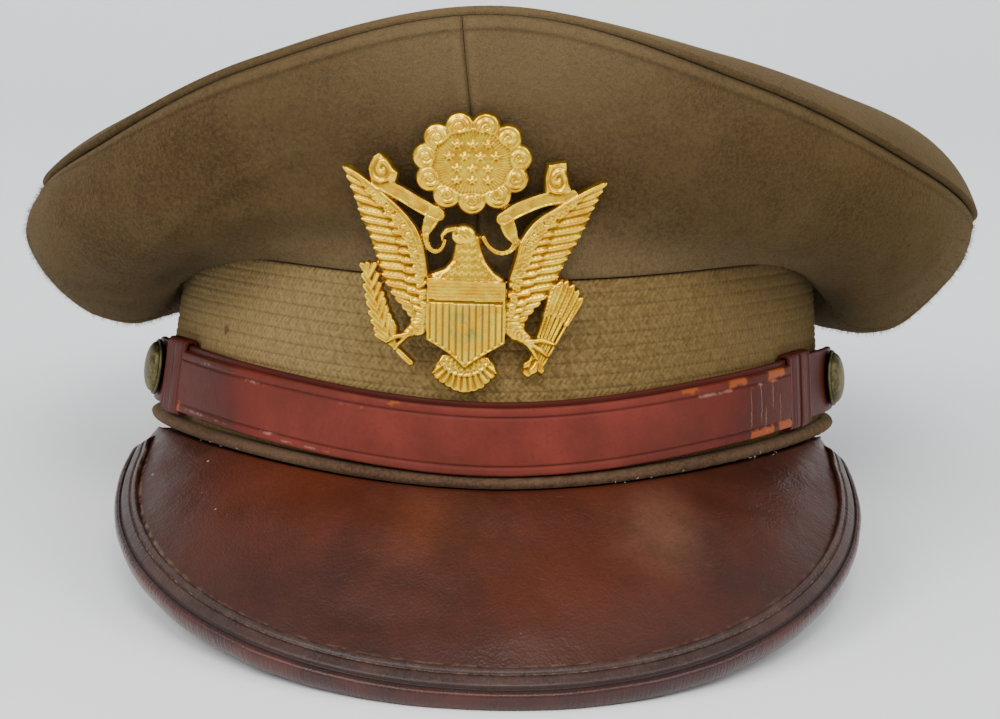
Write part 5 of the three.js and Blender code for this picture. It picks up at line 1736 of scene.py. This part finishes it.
def press_shield():
    inside = in_outline(SHIELD)
    press(inside, 2.3, 2.9, 0.4)
    field = smooth_step(inside, 0.45, 0.7)
    ribs = 0.5 + 0.5 * np.cos(2 * math.pi * (ACROSS + 0.45) * SHIELD_RIBS / 17.5)
    bar = UPWARD > SHIELD_BAR_FOOT - 0.025 * ACROSS
    low_field = 2.3 + 0.5 * ribs**0.45
    bar_field = 2.75 + 0.012 * np.cos(UPWARD * 2 * math.pi / 0.75)
    gutter = np.abs(UPWARD - SHIELD_BAR_FOOT + 0.025 * ACROSS) < 0.28
    carved = np.where(bar, bar_field, low_field)
    carved = np.where(gutter, 2.2, carved)
    RELIEF["height"] = np.where(inside > 0, RELIEF["height"] * (1 - field) + carved * field, RELIEF["height"])


def press_tail():
    inside = in_outline(TAIL)
    away = np.hypot(ACROSS + 0.6, UPWARD - 10.5)
    turn = np.arctan2(ACROSS + 0.6, 10.5 - UPWARD)
    plumes = 0.26 * np.cos(turn * 34) * smooth_step(away, 5.8, 6.6)
    small = 0.2 * np.cos(turn * 22) * np.cos(away * 3.4) * (1 - smooth_step(away, 5.2, 6))
    press(inside, 1, 1.75, 0.8, plumes + small + 0.35 * ridge(away, 6.1, 0.4))


def press_legs():
    for line in ([(-8.6, 18.4, 5.4), (-11.2, 15.2, 4.4), (-13.6, 13.8, 2.6)],
                 [(8.2, 17.6, 5.4), (11.2, 14, 4.2), (13.8, 12.3, 2.6)]):
        inside, along, off = in_stroke(line)
        press(inside, 1.3, 2.3, 1.6, 0.16 * np.cos(2 * math.pi * (along - np.abs(off)) / 1.2))
    toes = [[(-13.4, 13.6, 1.5), (-16.4, 13, 1.4), (-17.8, 11.8, 0.9)],
            [(-13.6, 13.2, 1.3), (-15.6, 11.2, 1.2), (-16.4, 9.9, 0.8)],
            [(13.4, 12.4, 1.4), (16.6, 12.6, 1.4), (19.4, 11.6, 1)],
            [(13.6, 12, 1.3), (16.2, 10.4, 1.3), (17.8, 8.9, 0.9)],
            [(13.2, 11.8, 1.2), (14.8, 9.6, 1.2), (15.6, 8.2, 0.8)]]
    for toe in toes:
        press(in_stroke(toe)[0], 1.8, 2.7, 0.6)


press_head()
press_tail()
press_shield()
press_legs()
tell("body and shield")

# %% [markdown]
# ## Branch and arrows
#
# One foot holds a leafy branch, whose narrow leaves lie close along the stem, and the other a bundle
# of arrows: flights above, shafts drawn together in the claws, and small heads below. Leaves and
# flights could have punches of their own, but small feathers look like both.

# %% Press the branch and the arrows
STEM = [(-12.8, 7, 1.7), (-14.8, 8.8, 1.7), (-17.2, 11.6, 1.2), (-19.6, 16, 1), (-21.4, 21.4, 0.9),
        (-22.8, 27.4, 0.7)]
LEAF_PAIRS = 9
ARROW_BUNDLE = [(13.9, 5.2, 3), (16.6, 9.4, 2.6), (18.4, 13.6, 2.8), (20.4, 18.2, 4.2), (21.6, 21.2, 4.8)]
FLIGHT_TOPS = [(19.6, 25.4), (21, 26.4), (22.4, 26.4), (23.8, 25.5), (25, 24.1), (25.9, 22.4)]


def press_branch():
    press(in_stroke(smooth_line(STEM, 24))[0], 1.3, 2.1, 0.5)
    line = smooth_line([(x, y) for x, y, _ in STEM], 61)
    for i in range(LEAF_PAIRS):
        at = int(20 + 38 * i / (LEAF_PAIRS - 1))
        (x, y), (next_x, next_y) = line[at], line[min(at + 1, 60)]
        heading = math.atan2(next_x - x, next_y - y)
        length = 5.6 - 0.22 * i
        for side, spread in ((-1, 0.36), (1, 0.62)):
            turn = heading + side * spread
            tip = (x + length * math.sin(turn), y + length * math.cos(turn))
            feather((x, y), tip, 1.9, 1.1, 1.95, 0.05)
    x, y = line[-1]
    feather((x, y - 1), (x - 0.3, y + 2.6), 1.7, 1.1, 2, 0.05)


def press_arrows():
    press(in_stroke(ARROW_BUNDLE)[0], 1, 1.5, 0.7)
    for i, (top_x, top_y) in enumerate(FLIGHT_TOPS):
        foot = (14.4 + 0.55 * i, 8.6 - 0.35 * i)
        neck = (foot[0] + (top_x - foot[0]) * 0.58, foot[1] + (top_y - foot[1]) * 0.58)
        press(in_stroke([(*foot, 0.8), (*neck, 0.9), (top_x, top_y, 0.7)])[0], 1.4, 2.1, 0.4)
        feather(neck, (top_x, top_y), 2.1, 1.3, 2.15 + 0.12 * (i % 2), 0.14, 0.5)
    heads = [[(12.4, 5.9, 0.4), (13.3, 6.9, 2), (14.2, 8.2, 0.9)],
             [(14.2, 4.4, 0.4), (14.9, 5.6, 2.2), (15.6, 7.6, 0.9)],
             [(16.6, 4.2, 0.4), (16.6, 5.6, 2), (16.5, 7.6, 0.9)]]
    for head in heads:
        press(in_stroke(head)[0], 1.2, 2.3, 0.8)


press_branch()
press_arrows()
tell("branch and arrows")

# %% [markdown]
# ## Worn gilt
#
# The gilding is bright where it is touched, dark in the hollows that polish never reaches, and a little
# green on the shield and the tail. Ambient occlusion could find the hollows at render time; a mark that
# comes from the relief itself stays with the mesh, and costs nothing to render.

# %% Gilt finish
def gilt_finish():
    gilt = Finish("worn gilt", Metallic=1.0)
    mottle = gilt.noise(380.0, 4.0, 0.6)
    patch = gilt.noise(110.0, 3.0, 0.6)
    gold = gilt.blend(gilt.span(mottle, 0.3, 0.7), (0.76, 0.375, 0.01), (1.0, 0.685, 0.038))
    gold = gilt.blend(gilt.span(patch, 0.5, 0.75, 0.0, 0.5), gold, (0.55, 0.26, 0.014))
    deep = gilt.times(gilt.mark("hollow"), gilt.span(mottle, 0.2, 0.8, 0.75, 1.0))
    gold = gilt.blend(gilt.times(deep, 0.9), gold, (0.12, 0.056, 0.006))
    green = gilt.times(gilt.mark("verdigris"), gilt.span(mottle, 0.35, 0.65))
    gold = gilt.blend(gilt.times(green, 0.75), gold, (0.09, 0.13, 0.07))
    gilt.bump((mottle, 0.00008))
    rough = gilt.span(gilt.maths("ADD", deep, gilt.times(mottle, 0.3)), 0.0, 1.2, 0.24, 0.58)
    return gilt.done(gold, rough)


GILT = gilt_finish()

# %% [markdown]
# ## The struck plate
#
# The grid becomes metal: points just outside the outline slide onto it, squares that lie inside become
# faces, and a flat back and a thin wall close the plate. A boolean cut would be slow and leave ragged
# faces. A point that lies lower than the heights around it is marked as a hollow.

# %% Strike the badge
BADGE_FOOT = np.array([-6.4, -95.5, 21.4])
BADGE_LEAN = math.radians(6.5)
BADGE_BOW_RADIUS = 75
POST_PLACE = (1.02, 34.5)
POST_RADIUS, POST_LENGTH = 1.5, 10.4


def onto_cap(across, upward, forward):
    """Bends a flat place of the badge to its bow, leans it and sets it on the cap."""
    turn, radius = across / BADGE_BOW_RADIUS, BADGE_BOW_RADIUS + forward
    x, y, z = np.broadcast_arrays(radius * np.sin(turn), BADGE_BOW_RADIUS - radius * np.cos(turn), upward)
    cos, sin = math.cos(BADGE_LEAN), math.sin(BADGE_LEAN)
    return np.stack([x, cos * y - sin * z, sin * y + cos * z], -1) + BADGE_FOOT


def blurred(values, reach):
    weights = np.exp(-np.linspace(-2, 2, 2 * reach + 1) ** 2)
    weights /= weights.sum()
    for axis in (0, 1):
        values = np.apply_along_axis(lambda row: np.convolve(row, weights, "same"), axis, values)
    return values


def slid_to_outline(inside):
    """Moves the points just outside the outline onto it, and says which points the plate uses."""
    slope_x, slope_y = np.gradient(inside, BADGE_STEP)
    steep = np.maximum(slope_x**2 + slope_y**2, 0.25)
    near = (inside <= 0) & (inside > -1.25 * BADGE_STEP)
    move = np.where(near, np.clip(-inside, 0, 1.25 * BADGE_STEP), 0) / steep
    return ACROSS + move * slope_x, UPWARD + move * slope_y, (inside > 0) | near


def struck_plate(across, upward, height, used):
    index = np.arange(used.size).reshape(used.shape)
    corners = [index[:-1, :-1], index[1:, :-1], index[1:, 1:], index[:-1, 1:]]
    squares = np.stack(corners, -1).reshape(-1, 4)
    held = used.ravel()[squares]
    solid = (RELIEF["inside"].ravel()[squares] > 0).any(1)
    front = squares[held.all(1) & solid]
    three = squares[(held.sum(1) == 3) & solid]
    missing = np.argmin(used.ravel()[three], axis=1)
    turned_round = (missing[:, None] + np.arange(1, 5)) % 4
    triangles = np.take_along_axis(three, turned_round, 1)
    triangles[:, 3] = triangles[:, 2]
    front = np.concatenate([front, triangles])
    starts, ends = front.ravel(), np.roll(front, -1, 1).ravel()
    real = starts != ends
    starts, ends = starts[real], ends[real]
    lone = ~np.isin(starts * used.size + ends, ends * used.size + starts)
    behind = used.size
    walls = np.stack([ends[lone], starts[lone], starts[lone] + behind, ends[lone] + behind], -1)
    faces = np.concatenate([front, front[:, ::-1] + behind, walls])
    flat = np.zeros_like(height)
    points = np.stack([onto_cap(across, upward, height), onto_cap(across, upward, flat)])
    return points.reshape(-1, 3), faces


def badge():
    inside = RELIEF["inside"]
    bevel = 0.55 * (1 - smooth_step(inside, 0, 0.45)) ** 2
    height = np.maximum(RELIEF["height"] - bevel, 0.55)
    present = (inside > 0).astype(float)
    around_it = blurred(height * present, 7) / np.maximum(blurred(present, 7), 0.05)
    hollow = smooth_step(around_it - height, -0.06, 0.26) * present
    shield_middle = ridge(np.hypot((ACROSS + 1.2) / 5.5, (UPWARD - 15.5) / 5.5), 0, 1)
    edge_green = 0.4 * ridge(np.hypot(ACROSS / 9, (UPWARD - 3.5) / 4), 0, 1)
    across, upward, used = slid_to_outline(inside)
    points, faces = struck_plate(across, upward, height, used)
    verdigris = np.maximum(shield_middle, edge_green)
    marks = {"hollow": np.concatenate([hollow.ravel(), np.full(hollow.size, 0.8)]),
             "verdigris": np.concatenate([verdigris.ravel(), np.full(verdigris.size, 0.1)])}
    return make_piece("struck_badge", points, faces, GILT, "badge", marks)


badge()

# %% [markdown]
# ## Post and nut
#
# The badge is held by a threaded post, soldered to its back, with a round nut inside the crown. They
# show only from below. A screw modifier could cut a true thread, but at this size turned rings, made
# like the buttons, look the same.

# %% Make the post and the nut
NUT_RADIUS, NUT_THICKNESS, NUT_BACK = 5, 2, 9.5
THREAD_PITCH, THREAD_DEPTH = 0.6, 0.14


def post_place():
    centre = onto_cap(*POST_PLACE, 0.0)
    outward = onto_cap(*POST_PLACE, 1.0) - centre
    upward = onto_cap(POST_PLACE[0], POST_PLACE[1] + 1, 0.0) - centre
    return centre, np.cross(upward, outward), upward, outward


threads = [(POST_RADIUS - THREAD_DEPTH * (i % 2), -POST_LENGTH + 0.3 + i * THREAD_PITCH / 2)
           for i in range(34)]
post_rings = [(0, -POST_LENGTH), (1.2, -POST_LENGTH)] + threads + [(2.6, -0.1), (2.6, 0.5), (0, 0.5)]
turned("badge_post", post_rings, post_place(), OLD_BRASS, None)

nut_bore, chamfer, groove = POST_RADIUS + 0.3, NUT_RADIUS - 0.4, NUT_RADIUS - 0.15
nut_profile = [(nut_bore, 0), (chamfer, 0), (NUT_RADIUS, 0.3), (groove, 0.7), (NUT_RADIUS, 1.1),
               (groove, 1.5), (chamfer, NUT_THICKNESS), (nut_bore, NUT_THICKNESS)]
nut_rings = [(radius, -NUT_BACK + rise) for radius, rise in nut_profile]
turned("round_nut", nut_rings, post_place(), OLD_BRASS, "badge_nut", ring=True)

# %% [markdown]
# ## Frayed threads and lint
#
# Old caps shed. Dark threads fray where the crown meets the braid, and pale lint stays under the welt
# and in the left pocket. Particles would spread it evenly, but lint gathers, so each row of the table is
# one patch.

# %% Make the threads and the lint
# Count, from angle, to angle, foot, top, how far out, length
DARK_THREADS = [(9, -26, -18, 43.5, 47.0, 0.25, 3.0), (14, -60, -34, 46.0, 47.6, 0.25, 2.2),
                (8, 30, 62, 46.2, 47.6, 0.25, 1.8)]
PALE_LINT = [(8, 48, 60, -0.6, 0.8, 3.9, 1.1), (4, -62, -50, -0.6, 0.6, 3.9, 0.9),
             (10, -78, -68, 36.0, 46.0, 0.3, 1.6), (5, 20, 40, -0.6, 0.6, 3.8, 0.8)]


def bits_of_thread(name, rows, tones, seed):
    draw = np.random.default_rng(seed)
    finish = Finish(name.replace("_", " "), Roughness=0.9)
    finish = finish.done(finish.blend(finish.noise(900.0, 2.0), *tones))
    starts, ends, ups = [], [], []
    for count, from_angle, to_angle, foot, top, out, longest in rows:
        for _ in range(count):
            angle, up = draw.uniform(from_angle, to_angle), draw.uniform(foot, top)
            turn, length = draw.uniform(0, math.pi), longest * draw.uniform(0.5, 1.1)
            far = angle + math.cos(turn) * length / 1.6, up + math.sin(turn) * length * 0.7
            starts.append(band_point(angle, out, up))
            ends.append(band_point(far[0], out + draw.uniform(0, 0.5), far[1]))
            ups.append(band_point(angle, out + 1, up) - starts[-1])
    points, faces = spindles(np.array(starts), np.array(ends), np.array(ups), 0.08)
    return make_piece(name, points, faces, finish)


bits_of_thread("frayed_threads", DARK_THREADS, ((0.012, 0.007, 0.005), (0.05, 0.03, 0.018)), 71)
bits_of_thread("pale_lint", PALE_LINT, ((0.2, 0.17, 0.13), (0.42, 0.38, 0.32)), 72)

# %% [markdown]
# ## Floor
#
# The cap stands on a plain pale floor. A flat plane would end in a horizon, so the floor curves up
# behind the cap.

# %% Floor
STAGE_NEAR, STAGE_FAR, STAGE_HALF_WIDTH = -1.6, 0.75, 2.2
STAGE_BEND, STAGE_TOP = 0.45, 1.8


def floor_finish():
    floor = Finish("pale floor", **{"Roughness": 0.85, "Specular IOR Level": 0.2})
    tone = floor.span(floor.noise(1.6, 2.0, 0.5), 0.3, 0.7)
    return floor.done(floor.blend(tone, (0.925, 0.95, 0.975), (0.955, 0.975, 0.99)))


def stage_floor():
    turns = np.linspace(0, math.pi / 2, 17)
    line = [(STAGE_NEAR, 0.0), (-0.6, 0.0), (0.0, 0.0)]
    line += [(STAGE_FAR + STAGE_BEND * math.sin(t), STAGE_BEND * (1 - math.cos(t))) for t in turns]
    line += [(STAGE_FAR + STAGE_BEND, STAGE_TOP)]
    points = [(x, y, z) for y, z in line for x in (-STAGE_HALF_WIDTH, 0.0, STAGE_HALF_WIDTH)]
    faces = grid_faces(len(line), 3, loop=False).tolist()
    mesh = bpy.data.meshes.new("pale_floor")
    mesh.from_pydata(points, [], faces)
    mesh.polygons.foreach_set("use_smooth", [True] * len(faces))
    mesh.materials.append(floor_finish())
    floor = bpy.data.objects.new("pale_floor", mesh)
    bpy.context.scene.collection.objects.link(floor)
    print("floor:", len(faces), "faces")


stage_floor()

# %% [markdown]
# ## Light
#
# Large soft lights on both sides keep the wool's shadows mild, and one above the camera gives the
# leather its broad sheen. A single sun would be simpler, but wool looks hard under it. A pale world
# fills the shadows.

# %% Lights
LIGHTS = [  # name, place, towards, size, power, colour
    ("left_window", (-1.1, -0.9, 1.15), (0, 0, 0.06), 1.0, 19.0, (1.0, 0.98, 0.95)),
    ("right_window", (1.2, -0.7, 1.0), (0, 0, 0.06), 1.0, 10.2, (1.0, 0.99, 0.98)),
    ("above_camera", (0.1, -1.0, 1.3), (0, -0.05, 0.06), 0.6, 11.5, (1.0, 0.97, 0.92)),
]


def stage_lights():
    for name, place, towards, size, power, colour in LIGHTS:
        data = bpy.data.lights.new(name, "AREA")
        data.shape, data.size, data.energy, data.color = "SQUARE", size, power, colour
        light = bpy.data.objects.new(name, data)
        aim = (Vector(place) - Vector(towards)).to_track_quat("Z", "Y").to_matrix().to_4x4()
        light.matrix_world = Matrix.Translation(place) @ aim
        bpy.context.scene.collection.objects.link(light)
    world = bpy.data.worlds.new("pale room")
    world.use_nodes = True
    background = world.node_tree.nodes["Background"]
    background.inputs["Color"].default_value = (0.96, 0.98, 1.0, 1)
    background.inputs["Strength"].default_value = 0.72
    bpy.context.scene.world = world
    print("lights:", ", ".join(row[0] for row in LIGHTS))


stage_lights()

# %% [markdown]
# ## Camera
#
# The camera looks from a little above, straight at the badge. It could be placed in the frame's metres,
# but the cap was measured with its band level, so the camera is placed in the cap's own millimetres and
# leans with the cap.

# %% Camera
CAMERA_AWAY, CAMERA_UP, CAMERA_ASIDE = 600, 64.56, 1.872
CAMERA_TURN, CAMERA_PITCH, CAMERA_ROLL = math.radians(0.5), math.radians(4.0), math.radians(0.905)
LENS = 79.49


def stage_camera():
    cos, sin = math.cos(CAMERA_TURN), math.sin(CAMERA_TURN)
    right = np.array([cos, -sin, 0])
    level = np.array([sin, cos, 0])
    place = CAMERA_ASIDE * right - CAMERA_AWAY * level + (0, 0, CAMERA_UP)
    ahead = math.cos(CAMERA_PITCH) * level - (0, 0, math.sin(CAMERA_PITCH))
    up = np.cross(right, ahead)
    tilted_right = math.cos(CAMERA_ROLL) * right + math.sin(CAMERA_ROLL) * up
    tilted_up = -math.sin(CAMERA_ROLL) * right + math.cos(CAMERA_ROLL) * up
    lean = np.array(Matrix.Rotation(CAP_LEAN, 3, "X"))
    axes = Matrix((lean @ np.stack([tilted_right, tilted_up, -ahead], 1)).tolist()).to_4x4()
    data = bpy.data.cameras.new("camera")
    data.lens, data.sensor_width = LENS, 36
    camera = bpy.data.objects.new("camera", data)
    camera.matrix_world = Matrix.Translation((lean @ place + CAP_PLACE) * MILLIMETRE) @ axes
    bpy.context.scene.collection.objects.link(camera)
    bpy.context.scene.camera = camera
    print("camera at", [round(c, 3) for c in camera.matrix_world.translation])


stage_camera()

# %% [markdown]
# The dressed cap has to stay in the box of its solids, apart from the little that cloth may stand
# proud.
